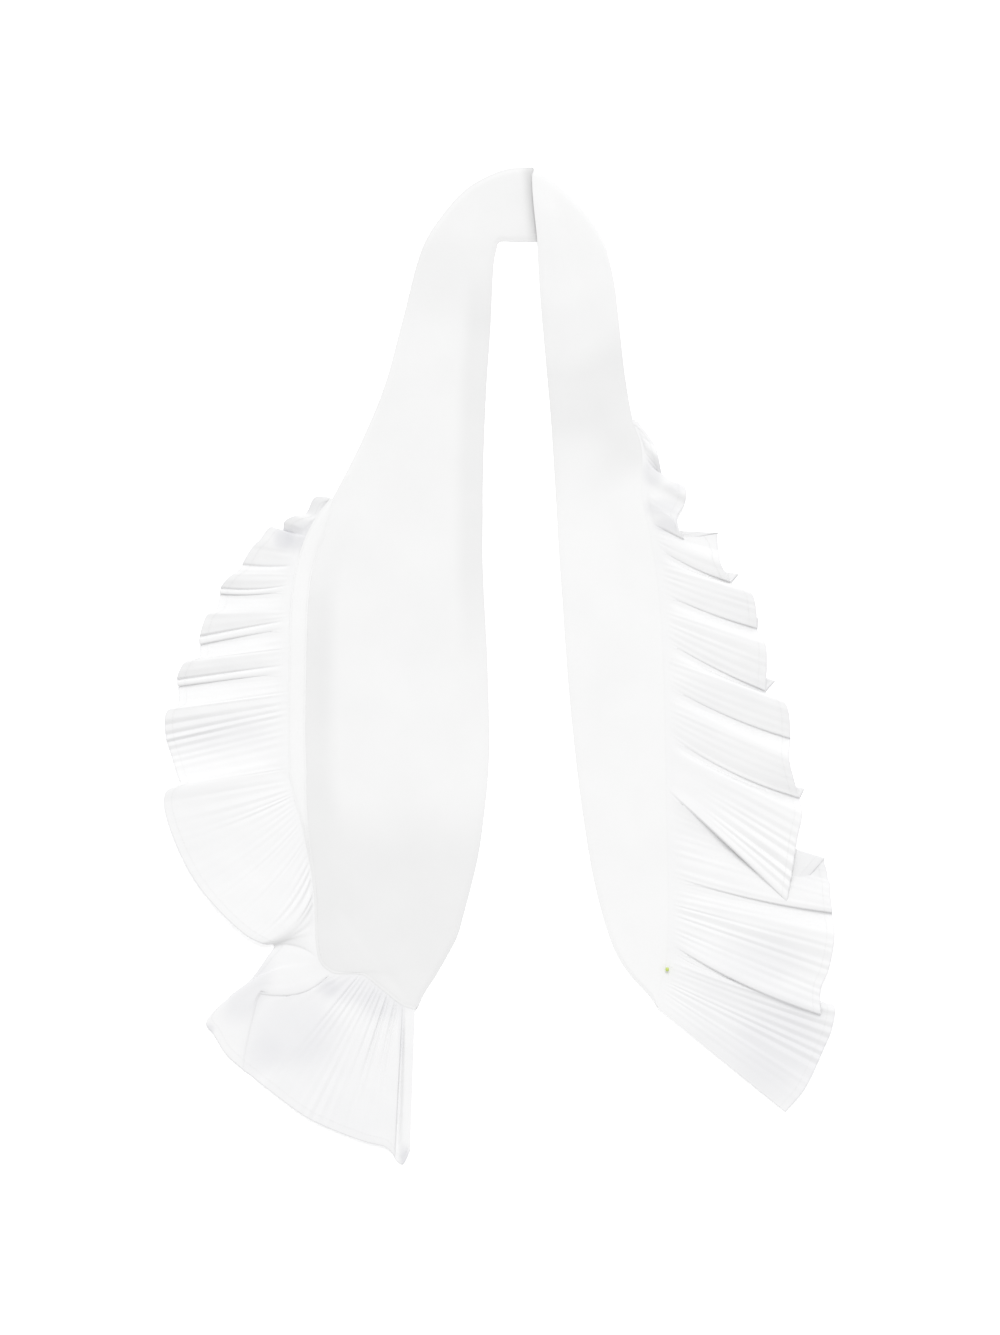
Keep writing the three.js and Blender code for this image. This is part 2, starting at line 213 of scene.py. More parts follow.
# The band's sections, from the lower left tip over the neck to the lower right one
LEFT_WING: list[Section] = [Section(*row) for row in (
    (-67, -274, -65, -271.5),
    (-78, -270, -63, -266),
    (-96, -256, -58, -257),
    (-110, -246, -52, -248),
    (-134, -244, -40, -227, 0, 0.5),
    (-143, -236, -34, -215, 0, 1),
    (-146, -223, -30, -201, 0, 1.5),
    (-148, -179, -18, -153, 0, 2),
    (-154, -139, -13, -119, 0, 2.5),
    (-162, -91, -9, -75, 0, 2.5),
    (-163, -11, -10, -3, 0, 2.5),
    (-158, 76, -14, 81, 0, 1.5),
    (-142, 119, -14, 125, 0, 0.5),
    (-134, 134, -14, 141),
)]
NECK: list[Section] = [Section(*row) for row in (
    (-112, 177, -13, 181),
    (-92, 225, -11, 225),
    (-78, 276, -8, 269),
    (-61, 337, -5, 324),
    (-46, 361, -3, 334),
    (-28, 381, -2, 338),
    (-12, 391, 0, 340),
    (3, 397, 10, 340),
    (15, 399, 50, 340, 0, 0, 0, 2),
    (21, 399, 70, 339.5, 0, 0, 0, 6),
    (25.3, 399, 78.5, 338, 0.3, 0, 0, 7),
    (27, 397.5, 84.5, 335, 2.05, 0, 0, 7.5),
    (25.8, 392.5, 86, 329.5, 3.8, 0, 0, 7),
    (25.8, 385, 87.5, 324, 4, 0.6, 0, 5.5),
    (27, 368, 89.5, 315, 3.6, 2.2, 0, 2),
    (29.8, 341, 92, 301, 2.9, 2.2),
    (32, 301, 94.5, 279, 1.8, 0.8),
    (37.5, 237, 100, 231, 0.3, 0, 0.5),
)]
RIGHT_WING: list[Section] = [Section(*row) for row in (
    (41, 197, 106, 197, 0, 0, 1.5),
    (42.5, 173, 113, 176, 0, 0, 1.4),
    (45, 133, 114, 133, 0, 0, 1.4),
    (46.5, 105, 120, 107, 0, 0, 1.4),
    (50, 53, 128, 53, 0, 0, 1.4),
    (56, -27, 132, -27, 0, 0, 1.4),
    (66, -115, 133.5, -111, 0, 0, 1.4),
    (78, -183, 135, -199, 0, 0, 1.4),
    (92, -227, 133.5, -233, 0, 0, 1.4),
    (103, -245, 131, -246, 0, 0, 1.4),
    (120, -263.5, 126.5, -263.5, 0, 0, 1.4),
    (124.5, -270, 126.5, -273, 0, 0, 1.4),
)]
NECK_ROW = len(LEFT_WING)               # number of the neck's first section
RIGHT_ROW = NECK_ROW + len(NECK)        # and of the right wing's
FOLD_ROW = NECK_ROW + 10.6              # where the band is folded over

# The fold lines of both ruffles, from the upper end of each seam down
LEFT_FOLDS: list[Fold] = [Fold(*row) for row in (
    (0, -139, 136, 2),
    (8, -148, 135, 5),
    (17, -155, 123, 1.5),
    (24, -165, 120, 6),
    (30, -172, 116, 5),
    (34, -174, 108, 0.8, 0.1, 0.1, 0, -1),
    (38, -183, 111.5, 6, 0.1, 0.1, 0, -1),
    (44, -192, 101, 7),
    (50, -198, 95, 6.5),
    (57.2, -205.2, 83, 4.2, 0.1, 0.1, 1),
    (58.5, -206, 81, 2.2, 0.1, 0.1, 1),
    (60, -207.5, 78.5, 4.2, 0.1, 0.1, 1),
    (63, -210, 76, 5.2),
    (68, -217, 71, 6, 0.2, 0.15),
    (72.6, -222.8, 64, 3.4, 0.1, 0.1, 2),
    (74, -223.5, 62.5, 1, 0.1, 0.1, 2),
    (75.3, -224, 60.8, 2.8, 0.1, 0.1, 2),
    (77, -224, 58.5, 2.8, 0.1, 0.1, 2, 0, 0, 3, 6),
    (90, -227, 45.5, 4.6, 0.2, 0.15),
    (96, -234, 41, 6.6, 0.2, 0.15),
    (99.4, -239.6, 25.8, 3.8),
    (101, -240, 24, 1),
    (102.8, -240.4, 21.8, 3.2),
    (106, -240, 18, 3, 0.1, 0.1, 0, 0, 0, 4, 7),
    (120, -240, 8, 5, 0.2, 0.15),
    (126, -252, 3, 7.2, 0.2, 0.15),
    (135.4, -258, -8.8, 3.8),
    (137, -258, -10.5, 1),
    (138.8, -258, -12.4, 3.2),
    (142, -257.5, -15.5, 3, 0.1, 0.1, 0, 0, 0, 4, 7),
    (156, -257.5, -31, 5.6, 0.2, 0.15),
    (162, -266, -36, 8, 0.2, 0.2),
    (173, -267, -56, 4, 0.5, 1.0),
    (186, -263, -70, 2, 0.5, 0.8),
    (206, -257, -88, 6.5, 0.2, 0.15),
    (216, -255, -93, 11, 0.2),
    (223, -266, -99.5, 13, 0.15, 0.05),
    (230, -268, -109, 12, 0.2, 0.05),
    (238, -263, -130, 11, 0.3, 0.05, 2),
    (250, -246, -167, 10, 0.2, 0.05, 3),
    (268, -224, -195, 10, 0.15, 0.05, 4),
    (290, -202, -215, 9, 0.4, 0.05, 4, 1),
    (318, -190, -221, 8, 0.9, 0.05, 7, 2),
    (342, -186, -222, 5, 0.5, 0.05, 3, 1.4),
    (360, -183.5, -222, 2.6, 0.15, 0, -2, 0.6),
    (371, -182, -222, 1.5, 0, 0, -3.5, 0.25),
    (373, -180.5, -223.5, 0.8, 0, 0, -3.5),
    (375, -186, -232, 1.2, 0, 0, -4, 0.2),
    (377, -200, -251, 1.7, 0, 0, -5, 0.4, 0.1),
    (379, -216, -264, 2.4, 0, 0, -8, 0.6, 0.3),
    (381, -235, -285, 3, 0, 0, -11, 0.7, 0.6),
    (383, -229, -294, 2.8, 0, 0, -15, 0.7, 1),
    (385, -219, -310, 2.6, 0, 0, -22, 0.7, 1),
    (387.3, -206, -322, 2, 0, 0, -31, 0.5, 1),
    (388.3, -204.5, -323.5, 1.4, 0, 0, -31, 0, 1),
    (392, -200, -326.5, 1.2, 0.1, 0, -22, 0, 0.5),
    (401, -196, -329.5, 2, 0.3, 0, -9),
    (411, -189, -335, 4, 0.5, 0.05),
    (420, -168, -351, 4.5, 0.6, 0.05),
    (426, -155, -360, 4.8, 0.9, 0.6),
    (431, -142, -366.5, 5, 1.0, 0.3),
    (439, -124, -374, 5, 1.2),
    (447, -107, -380, 5, 1.1, 0.1, 0, 1),
    (451, -91, -384.5, 4, 0.3, 0.1, 0, 2.5),
    (452.8, -85, -391, 2, 0, 0, 0, 3),
    (453.6, -84, -393.5, 1, 0, 0, 0, -0.5),
    (455, -82, -396, 0.8, 0, 0, 0, -0.5),
    (457, -78, -398, 2, 0, 0, 0, 1.5),
    (464, -72, -387, 4, 0, 0),
)]
RIGHT_FOLDS: list[Fold] = [Fold(*row) for row in (
    (0, 110, 196, 2),
    (10, 124, 176, 4.5, 0.15),
    (17, 126.5, 167, 7, 0.15),
    (24, 129, 155, 3.5, 0.15),
    (30, 132.5, 148, 1.2, 0.15),
    (37, 147, 144, 6),
    (42, 148.5, 137, 8),
    (52, 147, 129, 5),
    (62, 141.5, 119, 5, 0.1, 0.1, 0, 1),
    (74, 143.5, 108, 5.5, 0.1, 0.1, -5, 1.6),
    (82, 147, 102, 4, 0.1, 0.1, 0, 0.6, 0, 27, 6),
    (90, 174, 93, 2, 0.15),
    (95, 176, 83, 5.5, 0.15),
    (101, 184, 68, 2.9, 0.2, 0.2, 2.5, 0, 0, 6, 7),
    (118, 201, 58, 8, 0.2),
    (139, 205.5, 31, 2.9, 0.2, 0.2, 2, 0, 0, 1, 9),
    (155, 212, 17, 9, 0.2),
    (177, 212, -19, 2.9, 0.2, 0.2, 2, 0, 0, 8, 9),
    (195, 228, -30, 9, 0.2),
    (213, 232, -57, 2.9, 0.2, 0.2, 3.5, 0, 0, -1, 11),
    (230, 230.5, -72, 10, 0.2),
    (253, 239, -104.5, 2.9, 0.2, 0.2, 5, 0, 0, 4, 8),
    (266, 241, -118, 9, 0),
    (278, 237, -138, 8.5, 0, 0.4),
    (289, 233, -165, 7, 0, 1.0, 0, 1.5),
    (297, 229, -188, 6, 0, 0.8, -1, 3.5, 0, 31, 36),
    (327, 262, -170, 0.8),
    (347, 264, -184, 3.5, 0.3, 0.1, 0, 1.5),
    (367, 265.5, -196.5, 4, 0.3, 0.2, 3, 2.2, 0, -1, 8),
    (385, 267, -215, 9, 0.3, 0.2),
    (398, 262, -243, 7, 0.3, 0.3),
    (408, 256, -258, 6.5, 0.3, 0.3, 0, 0.5),
    (421, 256, -278, 8, 0.1, 0.2, 4, 2, 0, 9, 9),
    (427, 262, -269, 0.8, 0, 0, 5),
    (433, 267, -271.5, 5, 0.3, 0.6, 4, 1),
    (441, 265, -290, 4, 0.3, 1.0, 1),
    (449, 259, -305, 2.5, 0.3, 0.8),
    (460, 243, -338, 4, 0.15),
    (474, 228, -356, 3, 0.1, 0.05),
)]

# At distances along a seam: the heading band's share of its width, and the depth of the
# ruffle's flat border
LEFT_WIDTHS = ((0, 0.3), (15, 0.7), (30, 1.0), (225, 1.0), (270, 0.3), (320, 0.14), (464, 0.14))
RIGHT_WIDTHS = ((0, 0.3), (15, 0.7), (30, 1.0), (445, 1.0), (462, 0.5), (472, 0.06), (474, 0.05))
LEFT_CALM = ((0, 3.0), (40, 11.0), (220, 12.0), (270, 4.0), (402, 4.0), (464, 3.0))
RIGHT_CALM = ((0, 4.0), (60, 7.0), (270, 7.0), (295, 4.0), (310, 7.0), (445, 9.0), (474, 7.0))

# Patches of painted shade on the ruffles, in their hollows and under their folds
LEFT_SHADES: list[Shade] = [Shade(*row) for row in (
    (-164, -291, 36, 34, 0.33),
    (-222, -54, 45, 16, 0.15),
    (-173, 102, 9, 10, 0.5),
    (-156, 103, 20, 12, 0.45),
    (-154, 127, 18, 9, 0.1),
    (-79, -290, 3, 26, 0.25),
    (-130, -335, 60, 60, 0.15),
    (-138, -257, 9, 8, 0.35),
    (-118, -258, 26, 13, 0.32),
    (-94, -270, 20, 13, 0.3),
    (-201, -259, 33, 16, 0.36, 58, 0.7),
    (-190, -311, 18, 16, 0.2),
    (-76, -392, 4, 9, 0.7),
    (-233, -290, 5, 5, 0.5),
)]
RIGHT_SHADES: list[Shade] = [Shade(*row) for row in (
    (228, -302, 44, 44, 0.25),
    (200, -290, 60, 70, 0.2),
    (248, -160, 14, 18, 0.15),
    (215, -232, 45, 20, 0.15),
    (122, 155, 9, 12, 0.4),
    (141, 143, 10, 4, 0.25),
    (129, 127, 15, 8, 0.35),
    (134, 113, 12, 7, 0.4),
)]


def unit(vectors: np.ndarray) -> np.ndarray:
    """Vectors along the last axis, each divided by its length."""
    length = np.linalg.norm(vectors, axis=-1, keepdims=True)
    return vectors / np.maximum(length, 1e-9)


def along(points: np.ndarray) -> np.ndarray:
    """Distance from the first point of a chain to each of its points, along the chain."""
    steps = np.linalg.norm(np.diff(points, axis=0), axis=1)
    return np.concatenate([[0.0], np.cumsum(steps)])


def spread(count: int) -> np.ndarray:
    """Shares from 0 to 1 that lie closer toward both ends: half of one less a half turn's cosine."""
    return 0.5 * (1 - np.cos(math.pi * np.linspace(0, 1, count)))


def read(table: tuple[tuple[float, float], ...], places: np.ndarray) -> np.ndarray:
    """A table of places and values, read at places between its own, as a column, (n, 1)."""
    return np.interp(places, *np.array(table, float).T)[:, None]


def ripples(points: np.ndarray, length: float, seed: int) -> np.ndarray:
    """Soft uneven waves over a surface, between about -1 and 1.

    Formula: the mean of seven sine waves whose directions and phases are drawn from the seed, and
    whose lengths lie within 40% of the given one, times 1.6.

    Args:
        points: places, with x and y first along the last axis.
        length: the waves' usual length, in the same unit.
        seed: the number that fixes the waves.

    Returns:
        The height of the waves at each place.
    """
    waves, gain = 7, 1.6
    draw = np.random.default_rng(seed)
    total = np.zeros(points.shape[:-1])
    for _ in range(waves):
        turn, phase = draw.uniform(0.0, 2.0 * math.pi, 2)
        rate = 2.0 * math.pi / (length * draw.uniform(0.6, 1.4))
        total += np.sin(
            rate * (points[..., 0] * math.cos(turn) + points[..., 1] * math.sin(turn)) + phase
        )
    return total * gain / waves


@dataclass(frozen=True)
class RowCurve:
    """A smooth curve through a table's rows, read at row numbers that may lie between two rows.

    Formula: a centripetal Catmull-Rom spline. Neighbouring rows are spaced by the square root of
    their distance, the slope at a row is that of the parabola through it and its neighbours, and a
    cubic joins one row to the next. Rows spaced by less than same count as one place.
    """

    rows: np.ndarray
    same: float = 1e-4

    def at(self, numbers: np.ndarray) -> np.ndarray:
        """The curve's values at row numbers.

        Args:
            numbers: row numbers, whole or not.

        Returns:
            One row of values for each number.
        """
        table = self.rows
        padded = np.vstack([2 * table[0] - table[1], table, 2 * table[-1] - table[-2]])
        index = np.clip(np.floor(numbers).astype(int), 0, len(table) - 2)
        share = (numbers - index)[:, None]
        p0, p1, p2, p3 = (padded[index + k] for k in range(4))
        d0, d1, d2 = (
            np.sqrt(np.linalg.norm(b - a, axis=1))[:, None] for a, b in ((p0, p1), (p1, p2), (p2, p3))
        )
        d1 = np.where(d1 < self.same, 1.0, d1)
        d0 = np.where(d0 < self.same, d1, d0)
        d2 = np.where(d2 < self.same, d1, d2)
        m1 = ((p1 - p0) / d0 - (p2 - p0) / (d0 + d1) + (p2 - p1) / d1) * d1
        m2 = ((p2 - p1) / d1 - (p3 - p1) / (d1 + d2) + (p3 - p2) / d2) * d1
        square, cube = share**2, share**3
        return (
            p1
            + m1 * share
            + (3 * (p2 - p1) - 2 * m1 - m2) * square
            + (2 * (p1 - p2) + m1 + m2) * cube
        )


@dataclass(frozen=True)
class ClothGrid:
    """The middle surface of a piece of cloth as a grid of points, in millimetres of the drawing.

    half is half its thickness, run and over are the cloth's own coordinates along and across,
    rim is the distance from the nearest finished edge, and tone is how grey it is painted, from 0
    to 1, mostly as painted shade.
    """

    middle: np.ndarray
    half: np.ndarray
    run: np.ndarray
    over: np.ndarray
    rim: np.ndarray
    tone: np.ndarray

    def uv(self, over: np.ndarray) -> np.ndarray:
        """A UV map in metres, of the cloth's run and another coordinate."""
        return np.stack(np.broadcast_arrays(self.run, over), axis=-1) * MM

    def close(self, name: str) -> bpy.types.Object:
        """Builds closed cloth round the grid.

        Formula: each grid point is moved by half the cloth's thickness to both sides along the
        surface's normal. The loop round each row of the grid runs over the upper side, round a
        rim, back over the lower side and round the other rim, and the first and last loops are
        filled in.

        Args:
            name: the piece's name.

        Returns:
            The new object, with the UV maps "Cloth" and "Edge" and the attribute "tone", which carries
            the painted shade.
        """
        count, width = self.middle.shape[:2]
        upper = grid_normals(self.middle) * self.half[..., None]
        ends = [
            self.middle[:, at]
            + unit(self.middle[:, at] - self.middle[:, near]) * self.half[:, at, None] * RIM_ROUND
            for at, near in ((-1, -2), (0, 1))
        ]
        lower = (self.middle - upper)[:, ::-1]
        rings = np.concatenate(
            [self.middle + upper, ends[0][:, None], lower, ends[1][:, None]], axis=1
        )
        size = rings.shape[1]

        def ring_values(values: np.ndarray) -> np.ndarray:
            """Values of the grid's points, laid out as the rings' points are."""
            parts = [values, values[:, -1:], values[:, ::-1], values[:, :1]]
            return np.concatenate(parts, axis=1).reshape(count * size, -1)

        j = np.arange(width - 1)
        first = np.stack([j, j + 1, 2 * width - j - 1, 2 * width - j], axis=-1)
        corner = np.array([[width - 1, width, width + 1], [2 * width, 2 * width + 1, 0]])
        last = (count - 1) * size
        return place_mesh(
            name,
            (rings.reshape(-1, 3) + DRAWING_SHIFT) * MM,
            np.concatenate([ring_faces(count, size, False), first, first[:, ::-1] + last]),
            np.concatenate([corner, corner[:, ::-1] + last]),
            {"Cloth": ring_values(self.uv(self.over)), "Edge": ring_values(self.uv(self.rim))},
            {"tone": ring_values(self.tone)[:, 0]},
        )


def grid_normals(middle: np.ndarray) -> np.ndarray:
    """Unit normals of a grid of points: the cross product of its two directions."""
    return unit(np.cross(np.gradient(middle, axis=0), np.gradient(middle, axis=1)))


def ring_faces(count: int, size: int, closed: bool) -> np.ndarray:
    """Four-sided faces between neighbouring rings of points.

    Args:
        count: how many rings there are.
        size: how many points each ring has.
        closed: whether the last ring joins the first.

    Returns:
        The points' numbers for each face, ring by ring.
    """
    i = np.arange(count if closed else count - 1)[:, None]
    k = np.arange(size)
    ahead, beside = (i + 1) % count, (k + 1) % size
    corners = [i * size + k, ahead * size + k, ahead * size + beside, i * size + beside]
    return np.stack(corners, axis=-1).reshape(-1, 4)


NO_FACES = np.zeros((0, 3), int)


def place_mesh(
    name: str,
    points: np.ndarray,
    quads: np.ndarray,
    triangles: np.ndarray = NO_FACES,
    maps: dict[str, np.ndarray] | None = None,
    masks: dict[str, np.ndarray] | None = None,
) -> bpy.types.Object:
    """Makes a smooth mesh object and puts it in the scene.

    Args:
        name: the piece's name.
        points: the points, in metres of the finished tie's frame.
        quads: the four-sided faces.
        triangles: the three-sided faces.
        maps: UV maps by name, two values for each point.
        masks: named attributes, one value for each point.

    Returns:
        The new object, at the origin.
    """
    mesh = bpy.data.meshes.new(name)
    mesh.from_pydata(points.tolist(), [], quads.tolist() + triangles.tolist(), shade_flat=False)
    corners = np.concatenate([quads.ravel(), triangles.ravel()])
    for key, uv in (maps or {}).items():
        layer = mesh.uv_layers.new(name=key)
        layer.data.foreach_set("uv", uv[corners].astype(np.float32).ravel())
    for key, mask in (masks or {}).items():
        attribute = mesh.attributes.new(key, "FLOAT", "POINT")
        attribute.data.foreach_set("value", mask.astype(np.float32))
    mesh.validate()
    piece = bpy.data.objects.new(name, mesh)
    bpy.context.scene.collection.objects.link(piece)
    return piece


def bead_centre() -> np.ndarray:
    """The middle of the bead's box in the CAD, in metres."""
    low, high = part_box("corner_bead")
    return (np.array(low) + np.array(high)) / 2


# How far the finished tie lies from the drawing, read from where the bead is
DRAWING_SHIFT = np.array([*(bead_centre()[:2] / MM - BEAD_AT), 0.0])


class Effect(Enum):
    """The shader effects that more than one finish shares."""

    WEAVE = "PoplinWeave"
    STITCHES = "StitchRun"
    TONE = "ClothTone"
    WEAR = "EdgeWear"


class Carries(Enum):
    """What a socket of a node group carries."""

    NUMBER = "NodeSocketFloat"
    VECTOR = "NodeSocketVector"
    COLOUR = "NodeSocketColor"


@dataclass(frozen=True)
class Socket:
    """One socket of a node group: its name, what it carries and its usual value."""

    name: str
    carries: Carries = Carries.NUMBER
    value: float = 0.0


# What each effect reads, and what it puts out. Lengths are in metres.
CLOTH_MAP, RUN, PLACE = (Socket(name, Carries.VECTOR) for name in ("Cloth", "Run", "Place"))
WHITE, SHADE, COLOUR = (Socket(name, Carries.COLOUR) for name in ("White", "Shade", "Color"))
HEIGHT, MASK = Socket("Height"), Socket("Mask")
THREADS = Socket("Threads per metre", value=3200.0)
LINE, PITCH = Socket("Line", value=0.0066), Socket("Pitch", value=0.0026)
WIDTH, REACH = Socket("Width", value=0.0005), Socket("Reach", value=0.0016)
SIZE, AMOUNT = Socket("Size", value=12.0), Socket("Amount", value=0.3)
GRAIN = Socket("Grain", value=700.0)
SOCKETS: dict[Effect, tuple[list[Socket], Socket]] = {
    Effect.WEAVE: ([CLOTH_MAP, THREADS], HEIGHT),
    Effect.STITCHES: ([RUN, LINE, PITCH, WIDTH], MASK),
    Effect.TONE: ([PLACE, SIZE, AMOUNT, MASK, WHITE, SHADE], COLOUR),
    Effect.WEAR: ([RUN, PLACE, REACH, GRAIN], MASK),
}


class Nodes:
    """Adds shader nodes to one tree, laid out from left to right."""

    PER_ROW = 12
    SPACING = (180, -220)

    def __init__(self, tree: bpy.types.NodeTree) -> None:
        """Keeps the tree that the nodes go into."""
        self.tree = tree
        self.count = 0

    def add(self, kind: str, inputs: dict | None = None, **settings: object) -> bpy.types.Node:
        """Adds a node and fills its sockets.

        Args:
            kind: the node's type, such as "ShaderNodeMath".
            inputs: a value or another node's output for each socket, by name or number.
            settings: the node's own properties.

        Returns:
            The new node.
        """
        node = self.tree.nodes.new(kind)
        row, column = divmod(self.count, self.PER_ROW)
        node.location = (self.SPACING[0] * column, self.SPACING[1] * row)
        self.count += 1
        for key, value in settings.items():
            setattr(node, key, value)
        for key, value in (inputs or {}).items():
            socket = node.inputs[key]
            if isinstance(value, bpy.types.NodeSocket):
                self.tree.links.new(value, socket)
            else:
                socket.default_value = value
        return node

    def first(self, kind: str, inputs: dict | None = None, **settings: object) -> bpy.types.NodeSocket:
        """Adds a node as add does, and gives its first output."""
        return self.add(kind, inputs, **settings).outputs[0]

    def math(self, operation: str, *values: object, **settings: object) -> bpy.types.NodeSocket:
        """The output of a Math node with those inputs."""
        return self.first("ShaderNodeMath", dict(enumerate(values)), operation=operation, **settings)

    def noise(self, place: bpy.types.NodeSocket, scale: object, detail: float) -> bpy.types.NodeSocket:
        """The strength of soft noise at a place."""
        return self.first("ShaderNodeTexNoise", {"Vector": place, "Scale": scale, "Detail": detail})

    def split(self, vector: bpy.types.NodeSocket) -> list[bpy.types.NodeSocket]:
        """The three numbers of a vector."""
        return list(self.add("ShaderNodeSeparateXYZ", {0: vector}).outputs)

    def mix(self, share: object, one: object, other: object) -> bpy.types.NodeSocket:
        """Two colours mixed, with a share of the other one."""
        return self.add("ShaderNodeMix", {0: share, 6: one, 7: other}, data_type="RGBA").outputs[2]

    def effect(self, effect: Effect, inputs: dict) -> bpy.types.NodeSocket:
        """The output of a shared effect with those inputs."""
        return self.first("ShaderNodeGroup", inputs, node_tree=EffectGroup.get(effect))

    def surface(self, inputs: dict) -> None:
        """Adds the surface shader with those inputs, and the material's output."""
        shader = self.first("ShaderNodeBsdfPrincipled", inputs)
        self.tree.nodes.active = self.add("ShaderNodeOutputMaterial", {"Surface": shader})


class EffectGroup:
    """A shared shader effect as a node group, built once."""

    def __init__(self, effect: Effect) -> None:
        """Makes the group with its sockets, and what gives its output.

        Args:
            effect: the effect whose name and sockets the group takes.
        """
        ins, out = SOCKETS[effect]
        self.tree = bpy.data.node_groups.new(effect.value, "ShaderNodeTree")
        for direction, sockets in (("INPUT", ins), ("OUTPUT", [out])):
            for socket in sockets:
                made = self.tree.interface.new_socket(
                    name=socket.name, in_out=direction, socket_type=socket.carries.value
                )
                if socket.carries is Carries.NUMBER:
                    made.default_value = socket.value
        self.n = Nodes(self.tree)
        self.given = {socket.name: socket for socket in self.n.add("NodeGroupInput").outputs}
        makers = {
            Effect.WEAVE: self.weave,
            Effect.STITCHES: self.stitches,
            Effect.TONE: self.tone,
            Effect.WEAR: self.wear,
        }
        self.n.add("NodeGroupOutput", {0: makers[effect]()})

    @classmethod
    def get(cls, effect: Effect) -> bpy.types.NodeTree:
        """The group of an effect, built when it is first asked for."""
        return bpy.data.node_groups.get(effect.value) or cls(effect).tree

    def weave(self) -> bpy.types.NodeSocket:
        """Plain weave.

        Formula: the product of the sizes of two sines, one along each direction of the cloth, with
        one half wave for each thread, made uneven by fine noise.

        Returns:
            The height of the crossing threads.
        """
        n = self.n
        scaled = n.first(
            "ShaderNodeVectorMath",
            {0: self.given["Cloth"], "Scale": self.given["Threads per metre"]},
            operation="SCALE",
        )
        warp, weft = (
            n.math("ABSOLUTE", n.math("SINE", n.math("MULTIPLY", place, math.pi)))
            for place in n.split(scaled)[:2]
        )
        slubs = n.noise(scaled, scale=SLUB_SCALE, detail=2.0)
        uneven = n.math("MULTIPLY_ADD", slubs, 1 - THIN_THREAD, THIN_THREAD)
        return n.math("MULTIPLY", n.math("MULTIPLY", warp, weft), uneven)

    def stitches(self) -> bpy.types.NodeSocket:
        """A row of machine stitches along a line.

        Formula: a stitch covers STITCH_SHARE of each pitch along the line, and its height falls
        off as a parabola over half its width to both sides of the line.

        Returns:
            The stitches' height, as a share.
        """
        n = self.n
        run, over, _ = n.split(self.given["Run"])
        place = n.math("FRACT", n.math("DIVIDE", run, self.given["Pitch"]))
        inside = n.math("LESS_THAN", place, STITCH_SHARE)
        away = n.math("SUBTRACT", over, self.given["Line"])
        share = n.math("DIVIDE", away, self.given["Width"])
        fall = n.math("SUBTRACT", 1.0, n.math("MULTIPLY", n.math("MULTIPLY", share, share), 4.0))
        return n.math("MULTIPLY", inside, n.math("MAXIMUM", fall, 0.0))

    def tone(self) -> bpy.types.NodeSocket:
        """Uneven whiteness, with painted shade.

        Formula: two colours are mixed, and the share of the second is soft noise times the amount,
        plus the mask, which on the cloth carries the painted shade.

        Returns:
            The colour.
        """
        n, given = self.n, self.given
        noise = n.noise(given["Place"], given["Size"], detail=3.0)
        spread_noise = n.math("MULTIPLY", noise, given["Amount"])
        share = n.math("ADD", spread_noise, given["Mask"], use_clamp=True)
        return n.mix(share, given["White"], given["Shade"])

    def wear(self) -> bpy.types.NodeSocket:
        """Soft wear along the cloth's edges, where its threads are a little rubbed.

        Formula: a straight fall from the edge inward over the reach, times fine noise.

        Returns:
            The wear, as a share.
        """
        n, given = self.n, self.given
        share = n.math("DIVIDE", n.split(given["Run"])[1], given["Reach"])
        fall = n.math("MAXIMUM", n.math("SUBTRACT", 1.0, share), 0.0)
        return n.math("MULTIPLY", fall, n.noise(given["Place"], given["Grain"], detail=2.0))


def new_material(name: str) -> tuple[bpy.types.Material, Nodes]:
    """Makes an empty material.

    Args:
        name: the material's name.

    Returns:
        The material, and what adds its nodes.
    """
    material = bpy.data.materials.new(name)
    material.use_nodes = True
    material.node_tree.nodes.clear()
    return material, Nodes(material.node_tree)


@dataclass(frozen=True)
class PoplinFinish:
    """White cotton poplin: a fine plain weave with a dry, slightly uneven surface.

    stitch_lines are the distances from the edge at which rows of stitches run, in metres. shade is
    the grey toward which the uneven tone, the edge wear and the painted shade of the attribute
    "tone" mix the white.
    """

    name: str
    white: tuple[float, float, float] = (0.875, 0.875, 0.875)
    shade: tuple[float, float, float] = (0.70, 0.70, 0.70)
    unevenness: float = 0.3
    roughness: float = 0.9
    wear: float = 0.35
    weave_depth: float = 0.00003
    stitch_lines: tuple[float, ...] = ()
    stitch_depth: float = 0.0001
    thread: tuple[float, float, float] = (0.80, 0.80, 0.80)

    def build(self) -> bpy.types.Material:
        """Makes the material.

        Returns:
            The new material.
        """
        material, n = new_material(self.name)
        cloth, run = (n.first("ShaderNodeUVMap", uv_map=name) for name in ("Cloth", "Edge"))
        place = n.add("ShaderNodeTexCoord").outputs["Object"]
        # The attribute "tone" carries painted shade, which mixes the white toward the shade colour
        mask = n.add("ShaderNodeAttribute", attribute_name="tone").outputs["Fac"]
        worn = n.effect(Effect.WEAR, {"Run": run, "Place": place})
        colour = n.effect(
            Effect.TONE,
            {
                "Place": place,
                "Size": 17.0,
                "Amount": self.unevenness,
                "Mask": n.math("MULTIPLY_ADD", worn, self.wear, mask),
                "White": (*self.white, 1.0),
                "Shade": (*self.shade, 1.0),
            },
        )
        weave = n.effect(Effect.WEAVE, {"Cloth": cloth})
        bump = n.first(
            "ShaderNodeBump", {"Height": weave, "Distance": self.weave_depth, "Strength": 0.6}
        )
        for line in self.stitch_lines:
            stitches = n.effect(Effect.STITCHES, {"Run": run, "Line": line})
            bump = n.first(
                "ShaderNodeBump",
                {"Height": stitches, "Distance": self.stitch_depth, "Normal": bump},
            )
            colour = n.mix(n.math("MULTIPLY", stitches, 0.5), colour, (*self.thread, 1.0))
        n.surface(
            {
                "Base Color": colour,
                "Roughness": n.math("MULTIPLY_ADD", worn, 0.1, self.roughness),
                "Normal": bump,
                "Specular IOR Level": 0.25,
                "Sheen Weight": 0.08,
                "Sheen Roughness": 0.5,
            }
        )
        return material


